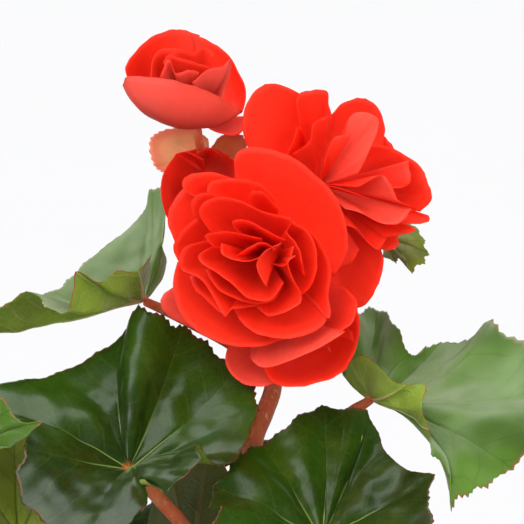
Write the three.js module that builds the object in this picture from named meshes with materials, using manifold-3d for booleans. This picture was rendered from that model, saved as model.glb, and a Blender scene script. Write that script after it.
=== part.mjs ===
// A potted begonia with double scarlet blooms, in millimetres, +Z up.
// The origin is the middle of the pot's flat underside. X runs to the viewer's right, Y away.
import * as THREE from "three";
import { mergeVertices } from "three/addons/utils/BufferGeometryUtils.js";
import Module from "manifold-3d";

const wasm = await Module();
wasm.setup();

// Driving dimensions, in millimetres
const FRONT_BLOOM_WIDTH = 61;
const VIEW_DISTANCE = 1300;
const VIEW_MIDDLE_HEIGHT = 245;
const POT_HEIGHT = 115;
const POT_RIM_RADIUS = 65;
const POT_FOOT_RADIUS = 45;
const POT_WALL = 5;
const POT_FLOOR = 7;
const RIM_BAND_HEIGHT = 27;
const RIM_BAND_STEP = 4;
const DRAIN_HOLE_RADIUS = 5;
const DRAIN_CIRCLE_RADIUS = 26;
const SOIL_HEIGHT = 102;
const SOIL_RELIEF = 1.1;
const STEM_HOLE_DEPTH = 24;
const LEAF_THICKNESS = 0.8;
const PETAL_THICKNESS = 0.7;
const GAP = 0.3;

// Angles, in radians
const VIEW_ELEVATION = THREE.MathUtils.degToRad(8);

// Places are read off the photograph in its pixels, with a depth in millimetres, away from the viewer.
const FRONT_BLOOM_WIDTH_PIXELS = 183;
const VIEW_MIDDLE_PIXEL = 262;
const PIXEL = FRONT_BLOOM_WIDTH / FRONT_BLOOM_WIDTH_PIXELS;

const LOOK = new THREE.Vector3(0, Math.cos(VIEW_ELEVATION), -Math.sin(VIEW_ELEVATION));
const LOOK_UP = new THREE.Vector3(0, Math.sin(VIEW_ELEVATION), Math.cos(VIEW_ELEVATION));

// The point that shows at pixel (px, py) of the photograph, at a depth behind its middle
function seen([px, py, depth]) {
  const scale = PIXEL * (1 + depth / VIEW_DISTANCE);
  return new THREE.Vector3((px - VIEW_MIDDLE_PIXEL) * scale, 0, VIEW_MIDDLE_HEIGHT)
    .addScaledVector(LOOK_UP, (VIEW_MIDDLE_PIXEL - py) * scale)
    .addScaledVector(LOOK, depth);
}

// Leaves: each rib is [middle x, y, depth, tip x, y, depth], in turn round the leaf's foot.
const SEEN_LEAVES = {
  leaf_a: {
    foot: [144, 301, 10],
    folded: true,
    ribs: [
      [149, 279, 5, 153, 256, -1],
      [141, 287, 1, 137, 270, -9],
      [131, 290, -3, 118, 272, -16],
      [121, 296, -5, 98, 284, -21],
      [109, 291, -6, 75, 271, -24],
      [107, 303, -5, 72, 300, -23],
      [103, 310, -5, 62, 315, -23],
      [94, 309, -4, 44, 306, -20],
      [85, 305, -3, 26, 294, -17],
      [72, 313, -1, -4, 314, -14],
      [58, 322, 1, -34, 338, -8],
      [66, 317, 6, -14, 316, 3],
      [82, 311, 9, 22, 298, 11],
      [94, 306, 12, 49, 291, 16],
      [104, 300, 14, 66, 281, 21],
      [114, 287, 17, 84, 266, 26],
      [126, 271, 19, 108, 245, 29],
      [138, 256, 20, 142, 216, 30],
      [146, 248, 20, 148, 189, 28],
      [153, 246, 18, 161, 187, 24],
      [157, 251, 17, 168, 212, 19],
      [156, 268, 16, 162, 240, 17],
      [157, 281, 16, 165, 262, 21],
      [152, 292, 14, 157, 284, 18],
    ],
  },
  leaf_b: {
    foot: [128.5, 469.5, -26],
    closed: true,
    folded: true,
    ribs: [
      [141, 480, -33, 152, 489, -40],
      [139, 487, -36, 152, 502, -44],
      [133, 496, -40, 147, 519, -50],
      [120, 502, -43, 126, 541, -58],
      [105, 503, -44, 88, 548, -61],
      [89, 495, -43, 47, 533, -58],
      [77, 487, -41, 21, 508, -51],
      [72, 474, -37, 14, 474, -44],
      [72, 462, -34, 23, 447, -38],
      [66, 446, -29, 20, 428, -26],
      [58, 430, -24, -14, 405, -18],
      [62, 418, -21, -8, 390, -12],
      [76, 413, -18, 26, 389, -7],
      [92, 410, -16, 58, 377, -4],
      [106, 405, -15, 96, 352, -2],
      [121, 400, -14, 126, 331, 0],
      [133, 398, -18, 141, 308, 1],
      [146, 398, -14, 163, 315, -1],
      [160, 400, -12, 187, 323, 1],
      [171, 409, -13, 208, 340, 1],
      [180, 424, -15, 231, 364, -1],
      [188, 436, -18, 257, 388, -7],
      [190, 446, -21, 261, 414, -15],
      [185, 452, -26, 251, 440, -25],
      [178, 458, -29, 236, 462, -32],
      [172, 461, -31, 215, 467, -35],
      [168, 461, -36, 200, 447, -45],
      [168, 468, -41, 206, 461, -53],
      [160, 475, -41, 192, 480, -52],
      [152, 480, -38, 174, 498, -51],
      [147, 481, -36, 165, 495, -47],
    ],
  },
  leaf_c: {
    foot: [322, 541, -32],
    ribs: [
      [269, 519, -49, 219, 507, -60],
      [268, 533, -52, 210, 528, -66],
      [276, 548, -53, 224, 556, -69],
      [292, 557, -52, 258, 574, -69],
      [311, 561, -50, 300, 582, -66],
      [332, 560, -47, 342, 581, -61],
      [353, 555, -43, 383, 570, -55],
      [370, 546, -39, 417, 550, -46],
      [381, 536, -34, 436, 524, -38],
      [385, 521, -28, 433, 500, -30],
      [386, 505, -22, 438, 477, -24],
      [376, 494, -18, 412, 475, -15],
      [365, 480, -13, 390, 457, -7],
      [358, 468, -10, 378, 432, -3],
      [350, 464, -8, 369, 411, 1],
      [339, 464, -14, 347, 407, 0],
      [326, 462, -11, 322, 408, 2],
      [311, 468, -16, 298, 417, -1],
      [297, 478, -19, 275, 433, -6],
      [285, 489, -25, 250, 446, -14],
      [276, 499, -31, 232, 465, -24],
      [266, 509, -35, 210, 485, -35],
      [262, 519, -39, 206, 511, -43],
    ],
  },
  leaf_d: {
    foot: [371.5, 399, 8],
    closed: true,
    folded: true,
    ribs: [
      [357, 389, 9, 341, 377, 10],
      [354, 372, 13, 342, 350, 17],
      [361, 355, 20, 355, 321, 32],
      [368, 350, 24, 369, 307, 37],
      [377, 352, 27, 388, 312, 34],
      [384, 360, 23, 403, 331, 26],
      [391, 371, 18, 411, 354, 21],
      [398, 377, 17, 424, 347, 27],
      [406, 379, 17, 441, 341, 29],
      [421, 384, 14, 477, 339, 27],
      [432, 387, 10, 495, 321, 20],
      [446, 393, 5, 525, 342, 14],
      [460, 399, 0, 557, 372, 4],
      [461, 412, -5, 561, 411, -6],
      [456, 423, -9, 541, 446, -14],
      [449, 431, -12, 514, 470, -20],
      [441, 437, -13, 487, 491, -24],
      [434, 440, -14, 467, 500, -26],
      [428, 442, -14, 451, 513, -28],
      [424, 432, -13, 444, 476, -26],
      [418, 425, -12, 428, 456, -24],
      [409, 417, -9, 430, 430, -22],
      [399, 409, -7, 418, 406, -20],
      [396, 400, -5, 424, 384, -16],
      [388, 396, -2, 406, 384, -10],
      [378, 391, 1, 384, 377, -6],
      [366, 382, 5, 358, 360, -2],
      [360, 385, 7, 346, 369, 4],
    ],
  },
  leaf_e: {
    foot: [386, 240, 26],
    ribs: [
      [384, 249, 22, 383, 259, 17],
      [390, 251, 20, 396, 263, 13],
      [396, 250, 18, 405, 260, 11],
      [400, 256, 17, 413, 273, 12],
      [405, 250, 18, 425, 265, 14],
      [408, 245, 19, 430, 255, 17],
      [407, 239, 21, 425, 242, 21],
      [404, 233, 24, 419, 229, 26],
      [397, 229, 27, 406, 220, 30],
      [390, 228, 29, 391, 215, 33],
      [380, 231, 30, 376, 219, 34],
    ],
  },
  leaf_f: {
    foot: [-40, 450, -32],
    closed: true,
    ribs: [
      [-30, 462, -33, -20, 472, -38],
      [-40, 466, -33, -40, 481, -40],
      [-54, 462, -33, -68, 472, -40],
      [-62, 450, -31, -84, 448, -38],
      [-62, 436, -29, -84, 422, -34],
      [-56, 424, -28, -70, 400, -31],
      [-44, 418, -27, -46, 389, -29],
      [-30, 417, -27, -20, 388, -30],
      [-18, 422, -28, 4, 398, -34],
      [-10, 431, -30, 20, 419, -38],
      [0, 434, -32, 42, 422, -43],
      [-8, 440, -32, 27, 438, -40],
      [-14, 445, -32, 12, 447, -37],
      [-20, 448, -32, 0, 450, -36],
      [-24, 454, -32, -8, 458, -37],
    ],
  },
  leaf_g: {
    foot: [192, 566, -1],
    ribs: [
      [176, 560, -2, 158, 566, -1],
      [168, 540, 0, 146, 535, 4],
      [168, 520, 0, 150, 500, 3],
      [178, 505, -2, 170, 470, -3],
      [192, 500, -3, 195, 455, -6],
      [208, 505, -2, 222, 464, -5],
      [220, 518, 0, 240, 492, -1],
      [222, 536, 2, 244, 525, 4],
      [216, 554, 1, 236, 556, 4],
      [208, 562, -1, 222, 574, 0],
    ],
  },
  leaf_q: {
    foot: [18, 540, -24],
    ribs: [
      [2, 552, -26, -20, 560, -34],
      [-8, 534, -28, -40, 530, -38],
      [-10, 518, -28, -42, 500, -38],
      [-4, 504, -24, -30, 470, -30],
      [5, 491, -22, -8, 440, -26],
      [16, 486, -20, 14, 431, -23],
      [27, 489, -19, 35, 434, -22],
      [36, 500, -20, 51, 457, -23],
      [40, 514, -21, 58, 490, -26],
      [37, 529, -22, 54, 520, -28],
      [29, 543, -24, 40, 548, -30],
    ],
  },
};

// Further leaves, grown out round the pot: foot in millimetres, heading of the tip in degrees from
// the viewer's right and anticlockwise from above, slope of the blade in degrees, length of its midrib
const ROUND_LEAVES = {
  leaf_h: { foot: [41, -43, 139], heading: -50, slope: -28, length: 50 },
  leaf_i: { foot: [-22, -54, 132], heading: -118, slope: -30, length: 46 },
  leaf_j: { foot: [62, 2, 130], heading: -2, slope: -30, length: 54 },
  leaf_k: { foot: [42, 44, 147], heading: 52, slope: -24, length: 54 },
  leaf_l: { foot: [0, 60, 130], heading: 94, slope: -28, length: 54 },
  leaf_m: { foot: [-42, 48, 150], heading: 140, slope: -20, length: 54 },
  leaf_n: { foot: [-62, 5, 132], heading: 177, slope: -30, length: 54 },
  leaf_o: { foot: [3, 55, 172], heading: 88, slope: -6, length: 48 },
  leaf_p: { foot: [-30, 40, 200], heading: 122, slope: 8, length: 44 },
};

// A round leaf's ribs: angle from the midrib in degrees, length as a share of it, droop as a share
const HEART_RIBS = [
  [-158, 0.52, 0.1],
  [-128, 0.66, 0.16],
  [-98, 0.74, 0.2],
  [-70, 0.78, 0.2],
  [-45, 0.82, 0.17],
  [-22, 0.86, 0.16],
  [0, 1, 0.22],
  [22, 0.84, 0.16],
  [46, 0.74, 0.17],
  [72, 0.68, 0.2],
  [100, 0.6, 0.18],
  [130, 0.54, 0.14],
  [158, 0.46, 0.1],
];

// Blooms: each petal's rim points are [x, y, depth]; belly is how far the petal's middle stands
// off the straight line from foot to rim, in pixels, pixels and millimetres of depth.
const BLOOMS = {
  bloom_front: {
    foot: [267, 256, -6],
    axis: [0, 0, -11],
    petals: {
      guard_upper_right: {
        belly: [0, 0, 4],
        rim: [
          [234, 178, -12],
          [236, 154, -15],
          [254, 147, -17],
          [289, 155, -20],
          [320, 178, -20],
          [343, 210, -18],
          [348, 248, -15],
          [334, 276, -12],
        ],
      },
      guard_lower_left: {
        belly: [0, 0, 5],
        rim: [
          [177, 262, -15],
          [173, 288, -18],
          [181, 315, -20],
          [202, 335, -21],
          [235, 347, -22],
          [265, 346, -22],
          [288, 338, -19],
        ],
      },
      guard_far_left: {
        belly: [0, 0, 2],
        rim: [
          [174, 286, -9],
          [161, 297, -11],
          [163, 311, -11],
          [181, 324, -10],
          [200, 331, -8],
        ],
      },
      left_outer: {
        belly: [0, 0, 3],
        rim: [
          [184, 187, -13],
          [171, 204, -15],
          [168, 224, -15],
          [175, 244, -14],
        ],
      },
      left_lower: {
        belly: [0, 0, 4],
        rim: [
          [198, 218, -20],
          [180, 232, -19],
          [173, 247, -18],
          [179, 264, -17],
        ],
      },
      top_left: {
        belly: [0, 0, 4],
        rim: [
          [197, 195, -18],
          [183, 187, -18],
          [186, 176, -18],
          [208, 171, -19],
          [234, 178, -16],
        ],
      },
      top_back: {
        belly: [0, 0, 4],
        rim: [
          [206, 192, -21],
          [212, 181, -21],
          [234, 178, -22],
          [258, 183, -22],
          [276, 198, -20],
        ],
      },
      upper_left: {
        belly: [0, 0, 5],
        rim: [
          [193, 216, -22],
          [191, 202, -25],
          [202, 193, -26],
          [226, 197, -24],
        ],
      },
      upper_wide: {
        belly: [0, 0, 5],
        rim: [
          [210, 232, -24],
          [199, 212, -28],
          [209, 199, -30],
          [240, 201, -31],
          [266, 213, -32],
          [292, 219, -35],
          [288, 230, -31],
        ],
      },
      upper_rolled: {
        belly: [0, 0, 7],
        rim: [
          [247, 202, -26],
          [251, 192, -29],
          [264, 192, -29],
          [279, 209, -25],
        ],
      },
      right_outer: {
        belly: [0, 0, 5],
        rim: [
          [293, 220, -25],
          [316, 238, -28],
          [331, 268, -28],
          [328, 294, -27],
          [329, 318, -30],
          [314, 302, -25],
        ],
      },
      right_middle: {
        belly: [0, 0, 5],
        rim: [
          [290, 221, -29],
          [310, 233, -31],
          [318, 258, -31],
          [313, 283, -30],
          [300, 295, -27],
        ],
      },
      right_inner: {
        belly: [0, 0, 5],
        rim: [
          [286, 231, -32],
          [298, 247, -34],
          [304, 263, -34],
          [305, 276, -31],
        ],
      },
      bottom_wide: {
        belly: [0, 0, 5],
        rim: [
          [234, 310, -23],
          [242, 325, -26],
          [262, 336, -28],
          [290, 339, -29],
          [313, 333, -29],
          [327, 319, -28],
          [316, 302, -24],
        ],
      },
      wavy_right: {
        belly: [0, 0, 5],
        rim: [
          [257, 307, -27],
          [270, 316, -30],
          [290, 309, -32],
          [301, 299, -34],
          [293, 279, -36],
          [288, 263, -38],
          [295, 255, -39],
        ],
      },
      lower_left_under: {
        belly: [0, 0, 5],
        rim: [
          [189, 276, -21],
          [195, 290, -23],
          [208, 300, -24],
          [221, 314, -25],
        ],
      },
      lower_left_outer: {
        belly: [0, 0, 6],
        rim: [
          [208, 240, -25],
          [183, 248, -27],
          [180, 269, -27],
          [202, 281, -28],
          [223, 316, -31],
          [232, 309, -29],
          [258, 306, -27],
        ],
      },
      lower_left_middle: {
        belly: [0, 0, 6],
        rim: [
          [205, 270, -28],
          [219, 291, -31],
          [246, 303, -32],
          [272, 301, -31],
          [283, 288, -30],
        ],
      },
      lower_left_inner: {
        belly: [0, 0, 6],
        rim: [
          [213, 246, -29],
          [199, 257, -32],
          [212, 270, -34],
          [229, 282, -36],
          [248, 298, -36],
          [271, 300, -35],
          [284, 283, -33],
        ],
      },
      tip_left: {
        belly: [0, 0, 5],
        rim: [
          [216, 248, -31],
          [205, 235, -36],
          [230, 232, -37],
          [262, 239, -36],
        ],
      },
      tongue: {
        belly: [0, 0, 5],
        rim: [
          [240, 233, -33],
          [232, 222, -37],
          [248, 221, -38],
          [268, 231, -38],
          [286, 239, -35],
        ],
      },
      spoon: {
        belly: [0, 0, 4],
        rim: [
          [221, 243, -37],
          [223, 255, -40],
          [241, 262, -41],
          [259, 258, -41],
          [268, 249, -40],
          [282, 243, -37],
        ],
      },
      spoon_fold: {
        belly: [0, 0, 3],
        rim: [
          [237, 255, -39],
          [248, 246, -42],
          [262, 242, -42],
          [277, 248, -39],
        ],
      },
      heart_blade: {
        foot: [284, 244, -20],
        belly: [-3, 0, -2],
        rim: [
          [269, 249, -38],
          [259, 259, -41],
          [258, 271, -41],
          [267, 287, -38],
        ],
      },
      heart_shade: {
        belly: [0, 0, 4],
        rim: [
          [273, 264, -34],
          [281, 268, -35],
          [290, 261, -36],
          [294, 246, -36],
        ],
      },
    },
  },
  bloom_right: {
    foot: [316, 187, 13],
    axis: [3, -1, -7],
    petals: {
      guard_upper_left: {
        belly: [0, 0, 4],
        rim: [
          [250, 152, 0],
          [243, 128, -4],
          [248, 100, -3],
          [265, 84, 0],
          [286, 86, 3],
          [304, 96, 6],
        ],
      },
      top_ruffled: {
        belly: [0, 0, 4],
        rim: [
          [300, 129, 3],
          [297, 98, 2],
          [312, 90, 0],
          [327, 91, 0],
          [329, 105, 3],
          [333, 118, 5],
        ],
      },
      left_small: {
        belly: [0, 0, 3],
        rim: [
          [284, 156, -1],
          [292, 140, -3],
          [298, 127, -3],
          [305, 138, 0],
        ],
      },
      left_inner: {
        belly: [0, 0, 4],
        rim: [
          [291, 154, -4],
          [310, 140, -7],
          [314, 123, -6],
          [331, 114, -1],
        ],
      },
      top_right: {
        belly: [0, 0, 4],
        rim: [
          [331, 115, 5],
          [345, 102, 3],
          [363, 98, 2],
          [378, 108, 4],
          [385, 126, 6],
          [384, 146, 7],
        ],
      },
      fold_left: {
        foot: [321, 184, 6],
        belly: [0, 0, -2],
        rim: [
          [323, 162, -5],
          [332, 140, -9],
          [342, 135, -11],
          [352, 134, -12],
        ],
      },
      fold_wide: {
        foot: [322, 185, 6],
        belly: [0, 0, -2],
        rim: [
          [344, 130, -9],
          [353, 114, -11],
          [370, 113, -13],
          [380, 123, -13],
          [370, 150, -12],
          [358, 174, -8],
        ],
      },
      right_back: {
        belly: [0, 0, 3],
        rim: [
          [382, 133, 9],
          [390, 142, 8],
          [399, 154, 8],
        ],
      },
      right_wide: {
        belly: [0, 0, 4],
        rim: [
          [372, 144, 3],
          [393, 148, 0],
          [416, 162, -3],
          [427, 179, -4],
          [432, 198, -3],
          [421, 212, 0],
        ],
      },
      right_fold: {
        belly: [0, 0, 3],
        rim: [
          [384, 187, -4],
          [404, 187, -7],
          [411, 180, -8],
          [409, 160, -5],
        ],
      },
      tent: {
        foot: [320, 184, 5],
        belly: [0, 0, 3],
        rim: [
          [358, 188, -9],
          [372, 180, -12],
          [383, 175, -13],
          [392, 184, -13],
          [398, 200, -12],
          [411, 207, -9],
        ],
      },
      slit: {
        foot: [321, 185, 5],
        belly: [0, 0, 2],
        rim: [
          [338, 187, -7],
          [352, 192, -10],
          [369, 199, -9],
        ],
      },
      lower_light: {
        foot: [320, 187, 6],
        belly: [0, -2, 3],
        rim: [
          [412, 209, -9],
          [400, 223, -12],
          [384, 224, -12],
          [364, 214, -11],
          [345, 210, -7],
        ],
      },
      tip_right: {
        belly: [0, 0, 3],
        rim: [
          [412, 210, 0],
          [426, 215, -3],
          [431, 220, -3],
          [420, 225, -3],
          [402, 223, -2],
        ],
      },
      pointed: {
        belly: [0, 0, 3],
        rim: [
          [386, 225, -5],
          [402, 223, -6],
          [415, 230, -7],
          [400, 235, -5],
          [384, 238, -3],
        ],
      },
      lower_thin: {
        belly: [0, 0, 4],
        rim: [
          [346, 226, -4],
          [359, 231, -7],
          [368, 243, -7],
          [379, 250, -4],
          [388, 238, -2],
        ],
      },
      right_low: {
        belly: [0, 0, 3],
        rim: [
          [399, 234, 3],
          [398, 247, 1],
          [386, 251, 1],
          [373, 245, 3],
        ],
      },
      guard_bottom: {
        belly: [0, 0, 5],
        rim: [
          [381, 248, 6],
          [384, 264, 4],
          [378, 288, 3],
          [363, 307, 4],
          [345, 307, 6],
          [328, 288, 8],
        ],
      },
      low_inner: {
        belly: [0, 0, 4],
        rim: [
          [360, 250, -1],
          [352, 263, -1],
          [338, 268, 1],
          [322, 262, 4],
        ],
      },
      guard_hidden: {
        belly: [0, 0, 2],
        rim: [
          [268, 160, 11],
          [262, 190, 12],
          [270, 218, 12],
          [298, 236, 12],
        ],
      },
    },
  },
  bloom_top: {
    foot: [197, 119, 6],
    axis: [-2, -12, -2],
    petals: {
      cup_back_left: {
        belly: [-14, 10, 6],
        rim: [
          [134, 88, -2],
          [125, 68, 0],
          [136, 50, 6],
          [158, 32, 11],
          [180, 29, 13],
          [200, 35, 13],
        ],
      },
      cup_back_right: {
        belly: [10, 4, 6],
        rim: [
          [190, 32, 13],
          [214, 43, 12],
          [232, 59, 12],
          [244, 84, 9],
          [246, 100, 7],
          [242, 113, 5],
        ],
      },
      cup_front: {
        belly: [-17, 26, -9],
        rim: [
          [122, 85, -8],
          [128, 76, -11],
          [154, 77, -14],
          [180, 81, -15],
          [204, 89, -13],
          [224, 99, -9],
          [243, 111, -1],
        ],
      },
      fold_left: {
        belly: [-8, 8, 4],
        rim: [
          [151, 78, -6],
          [152, 59, -1],
          [162, 49, 3],
          [176, 48, 5],
        ],
      },
      fold_right: {
        belly: [4, 4, -4],
        rim: [
          [192, 82, -11],
          [206, 70, -6],
          [223, 66, -2],
          [231, 58, 0],
          [229, 78, 0],
          [223, 99, -2],
        ],
      },
      inner_top: {
        belly: [0, 6, 5],
        rim: [
          [168, 55, 0],
          [178, 49, 2],
          [193, 52, 4],
          [204, 46, 6],
          [214, 54, 6],
        ],
      },
      inner_middle: {
        belly: [0, 6, 3],
        rim: [
          [163, 63, -3],
          [169, 55, -2],
          [188, 60, -2],
          [212, 67, 1],
        ],
      },
      inner_ragged: {
        belly: [0, 6, 0],
        rim: [
          [160, 77, -9],
          [168, 60, -8],
          [175, 73, -10],
          [188, 69, -9],
          [199, 72, -8],
        ],
      },
      under_right: {
        belly: [2, 6, 0],
        rim: [
          [208, 128, 2],
          [220, 134, 0],
          [236, 135, 0],
          [245, 127, 3],
          [244, 116, 5],
        ],
      },
    },
  },
  bloom_low: {
    foot: [287, 313, 0],
    axis: [6, 3, -6],
    petals: {
      guard_lower: {
        belly: [2, 4, 6],
        rim: [
          [262, 368, -12],
          [273, 384, -14],
          [300, 387, -20],
          [333, 378, -23],
          [352, 359, -21],
          [360, 330, -16],
          [357, 308, -12],
        ],
      },
      guard_left: {
        belly: [-4, 4, 5],
        rim: [
          [228, 342, -9],
          [225, 362, -12],
          [239, 381, -14],
          [258, 387, -14],
          [275, 384, -12],
        ],
      },
      cup_roll: {
        belly: [-2, 2, -2],
        rim: [
          [251, 346, -12],
          [251, 359, -16],
          [266, 367, -20],
          [300, 357, -28],
          [328, 342, -30],
          [345, 331, -30],
        ],
      },
      cup_right: {
        belly: [0, 0, 7],
        rim: [
          [341, 334, -29],
          [354, 321, -28],
          [357, 302, -22],
          [346, 288, -15],
          [333, 284, -8],
        ],
      },
      inner_low: {
        belly: [0, 0, 3],
        rim: [
          [310, 352, -20],
          [327, 346, -23],
          [331, 352, -22],
        ],
      },
      inner_right: {
        belly: [0, 0, 3],
        rim: [
          [343, 326, -23],
          [352, 333, -24],
          [354, 342, -21],
        ],
      },
      guard_back_right: {
        belly: [0, 0, 2],
        rim: [
          [302, 286, 5],
          [328, 281, 5],
          [347, 296, 3],
          [352, 318, 2],
        ],
      },
      guard_back_left: {
        belly: [0, 0, 1],
        rim: [
          [236, 338, 3],
          [240, 316, 5],
          [258, 298, 6],
          [276, 292, 6],
        ],
      },
    },
  },
  bloom_rear: {
    foot: [206, 172, 14],
    axis: [-6, 0, -5],
    petals: {
      cup_left: {
        belly: [-4, 2, 6],
        rim: [
          [176, 153, 2],
          [164, 172, -3],
          [161, 194, -5],
          [168, 219, -3],
          [186, 240, 1],
        ],
      },
      guard_top: {
        belly: [0, 0, 2],
        rim: [
          [171, 170, 10],
          [177, 155, 12],
          [190, 150, 13],
          [210, 147, 15],
          [230, 156, 16],
        ],
      },
      rolled_left: {
        belly: [0, -4, 2],
        rim: [
          [177, 153, 1],
          [188, 153, -1],
          [204, 160, -2],
        ],
      },
      rolled_top: {
        belly: [0, -2, 3],
        rim: [
          [193, 154, 5],
          [208, 148, 6],
          [222, 154, 8],
        ],
      },
      right: {
        belly: [3, 0, 3],
        rim: [
          [222, 152, 13],
          [240, 166, 15],
          [242, 190, 15],
          [230, 210, 13],
        ],
      },
      lower: {
        belly: [0, 4, 4],
        rim: [
          [190, 241, 6],
          [208, 250, 9],
          [226, 244, 12],
          [238, 218, 14],
        ],
      },
      guard_back: {
        belly: [0, 4, 4],
        rim: [
          [173, 186, 15],
          [170, 214, 16],
          [184, 240, 17],
          [206, 250, 18],
        ],
      },
      inner: {
        belly: [0, 0, 3],
        rim: [
          [182, 180, 2],
          [187, 198, 2],
          [208, 204, 5],
        ],
      },
    },
  },
};

// The two bracts at the fork of the flower stalks
const BRACTS = {
  bract_left: {
    foot: [202, 158, 20],
    belly: [0, 0, 3],
    rim: [
      [184, 167, 19],
      [164, 172, 16],
      [152, 162, 15],
      [149, 140, 16],
      [162, 130, 17],
      [190, 128, 19],
      [207, 137, 19],
      [208, 149, 20],
    ],
  },
  bract_right: {
    foot: [212, 161, 20],
    belly: [0, 0, 3],
    rim: [
      [211, 147, 17],
      [219, 137, 16],
      [236, 132, 17],
      [247, 142, 18],
      [244, 160, 20],
      [234, 170, 21],
    ],
  },
};

// Stems: each run is a row of points [x, y, depth, radius in millimetres]; the first run of a stem
// stands in the soil, and a run that ends at a leaf or a bloom carries it.
const STEMS = {
  stem_flowering: {
    base: [1, 5],
    runs: [
      {
        points: [
          [251, 500, 6, 3.6],
          [254, 440, 6, 3.3],
          [265, 412, 7, 3.2],
          [273, 388, 10, 3.1],
          [272, 345, 20, 2.9],
          [262, 305, 27, 2.7],
          [248, 262, 31, 2.6],
          [232, 225, 32, 2.4],
          [218, 190, 30, 2.3],
          [207, 164, 22, 2.2],
        ],
        rooted: true,
      },
      {
        points: [
          [210, 172, 25, 1.9],
          [204, 158, 18, 1.8],
          [200, 146, 9, 1.6],
          [198, 134, 6, 1.6],
        ],
        carries: "bloom_top",
      },
      { points: [[220, 194, 30, 1.7], [212, 181, 24, 1.7]], carries: "bloom_rear" },
      { points: [[248, 262, 31, 2], [276, 232, 29, 1.9], [300, 205, 24, 1.8]], carries: "bloom_right" },
      { points: [[261, 300, 27, 2], [264, 277, 14, 1.9], [266, 262, 2, 1.8]], carries: "bloom_front" },
      { points: [[271, 352, 19, 2], [281, 334, 14, 1.9], [286, 320, 8, 1.8]], carries: "bloom_low" },
      {
        points: [
          [272, 376, 12, 2.2],
          [254, 361, 11, 2.1],
          [230, 344, 9, 2],
          [196, 326, 9, 1.9],
          [164, 310, 11, 1.8],
        ],
        carries: "leaf_a",
      },
      {
        points: [
          [273, 372, 13, 1.6],
          [290, 345, 21, 1.5],
          [315, 315, 25, 1.4],
          [345, 285, 29, 1.3],
          [370, 258, 31, 1.2],
        ],
        carries: "leaf_e",
      },
    ],
  },
  stem_left: {
    base: [-12, -3],
    runs: [
      {
        points: [
          [236, 640, -4, 3.2],
          [222, 600, -7, 3],
          [205, 560, -12, 2.8],
          [182, 524, -19, 2.6],
          [160, 500, -24, 2.4],
          [142, 482, -24, 2.2],
        ],
        rooted: true,
        carries: "leaf_b",
      },
      {
        points: [
          [228, 616, -6, 2.1],
          [150, 566, -4, 1.9],
          [60, 514, -6, 1.8],
          [-4, 474, -15, 1.6],
        ],
        carries: "leaf_f",
      },
      { points: [[230, 625, -5, 2.1], [150, 596, -12, 1.9], [70, 566, -18, 1.7]], carries: "leaf_q" },
      { points: [[219, 592, -9, 1.9], [204, 578, -5, 1.8]], carries: "leaf_g" },
      {
        points: [
          [-13, -4, 114, 2],
          [-18, -28, 129, 1.8],
          [-22, -46, 132, 1.6],
        ],
        carries: "leaf_i",
        placed: true,
      },
      {
        points: [
          [-13, -3, 114, 2],
          [-36, 1, 126, 1.9],
          [-54, 4, 129, 1.7],
        ],
        carries: "leaf_n",
        placed: true,
      },
    ],
  },
  stem_right: {
    base: [12, -4],
    runs: [
      {
        points: [[284, 650, -5, 3.2], [292, 620, -8, 2.8], [308, 582, -18, 2.4], [318, 558, -25, 2.1]],
        rooted: true,
        carries: "leaf_c",
      },
      {
        points: [
          [285, 640, -5, 2.5],
          [297, 570, 4, 2.4],
          [312, 490, 9, 2.2],
          [332, 434, 11, 2],
          [352, 411, 11, 1.9],
          [364, 404, 10, 1.8],
        ],
        carries: "leaf_d",
      },
      {
        points: [
          [11, -5, 108, 2],
          [26, -26, 131, 1.9],
          [36, -38, 137, 1.7],
        ],
        carries: "leaf_h",
        placed: true,
      },
      {
        points: [
          [11, -4, 106, 2],
          [36, -2, 126, 1.9],
          [55, 1, 130, 1.7],
        ],
        carries: "leaf_j",
        placed: true,
      },
    ],
  },
  stem_back: {
    base: [-2, 22],
    runs: [
      {
        points: [[-2, 24, 130, 3], [-1, 33, 146, 2.7], [1, 46, 158, 2.2], [2, 53, 166, 1.8]],
        rooted: true,
        placed: true,
        carries: "leaf_o",
      },
      {
        points: [
          [-2, 27, 140, 2.3],
          [-14, 30, 168, 2.1],
          [-25, 36, 192, 1.8],
        ],
        carries: "leaf_p",
        placed: true,
      },
      {
        points: [
          [-2, 23, 116, 2.2],
          [20, 31, 138, 2],
          [36, 39, 146, 1.8],
        ],
        carries: "leaf_k",
        placed: true,
      },
      {
        points: [
          [-2, 23, 112, 2.2],
          [-1, 40, 126, 2],
          [0, 53, 130, 1.8],
        ],
        carries: "leaf_l",
        placed: true,
      },
      {
        points: [
          [-2, 23, 118, 2.2],
          [-22, 34, 142, 2],
          [-36, 44, 149, 1.8],
        ],
        carries: "leaf_m",
        placed: true,
      },
    ],
  },
};

// Fineness of the facets
const ROUND_STEPS = 30;
const LEAF_STEPS_ALONG = 3;
const ROUND_LEAF_STEPS_ALONG = 2;
const PETAL_STEPS_ALONG = 2;
const TOOTH_DEPTH = 0.045;
const MAIN_STEM_SIDES = 8;
const STALK_SIDES = 6;
const BLOOM_CORE_RADIUS = 4;
const LEAF_KNUCKLE_RADIUS = 1.7;
const TRIM_RADIUS = 5;

// A folded or funnel-shaped blade gets one more ring this far out from its foot, as a share of its ribs.
const FOOT_RING = 0.14;

function solidFrom(geometry) {
  const bare = geometry.clone();
  bare.deleteAttribute("normal");
  bare.deleteAttribute("uv");
  const merged = mergeVertices(bare, 1e-4);
  const corners = Array.from(merged.index.array);
  const kept = corners.filter((_, k) => {
    const [a, b, c] = corners.slice(k - (k % 3), k - (k % 3) + 3);
    return a !== b && b !== c && c !== a;
  });
  return new wasm.Manifold(
    new wasm.Mesh({
      numProp: 3,
      vertProperties: merged.attributes.position.array,
      triVerts: new Uint32Array(kept),
    }),
  );
}

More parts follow.
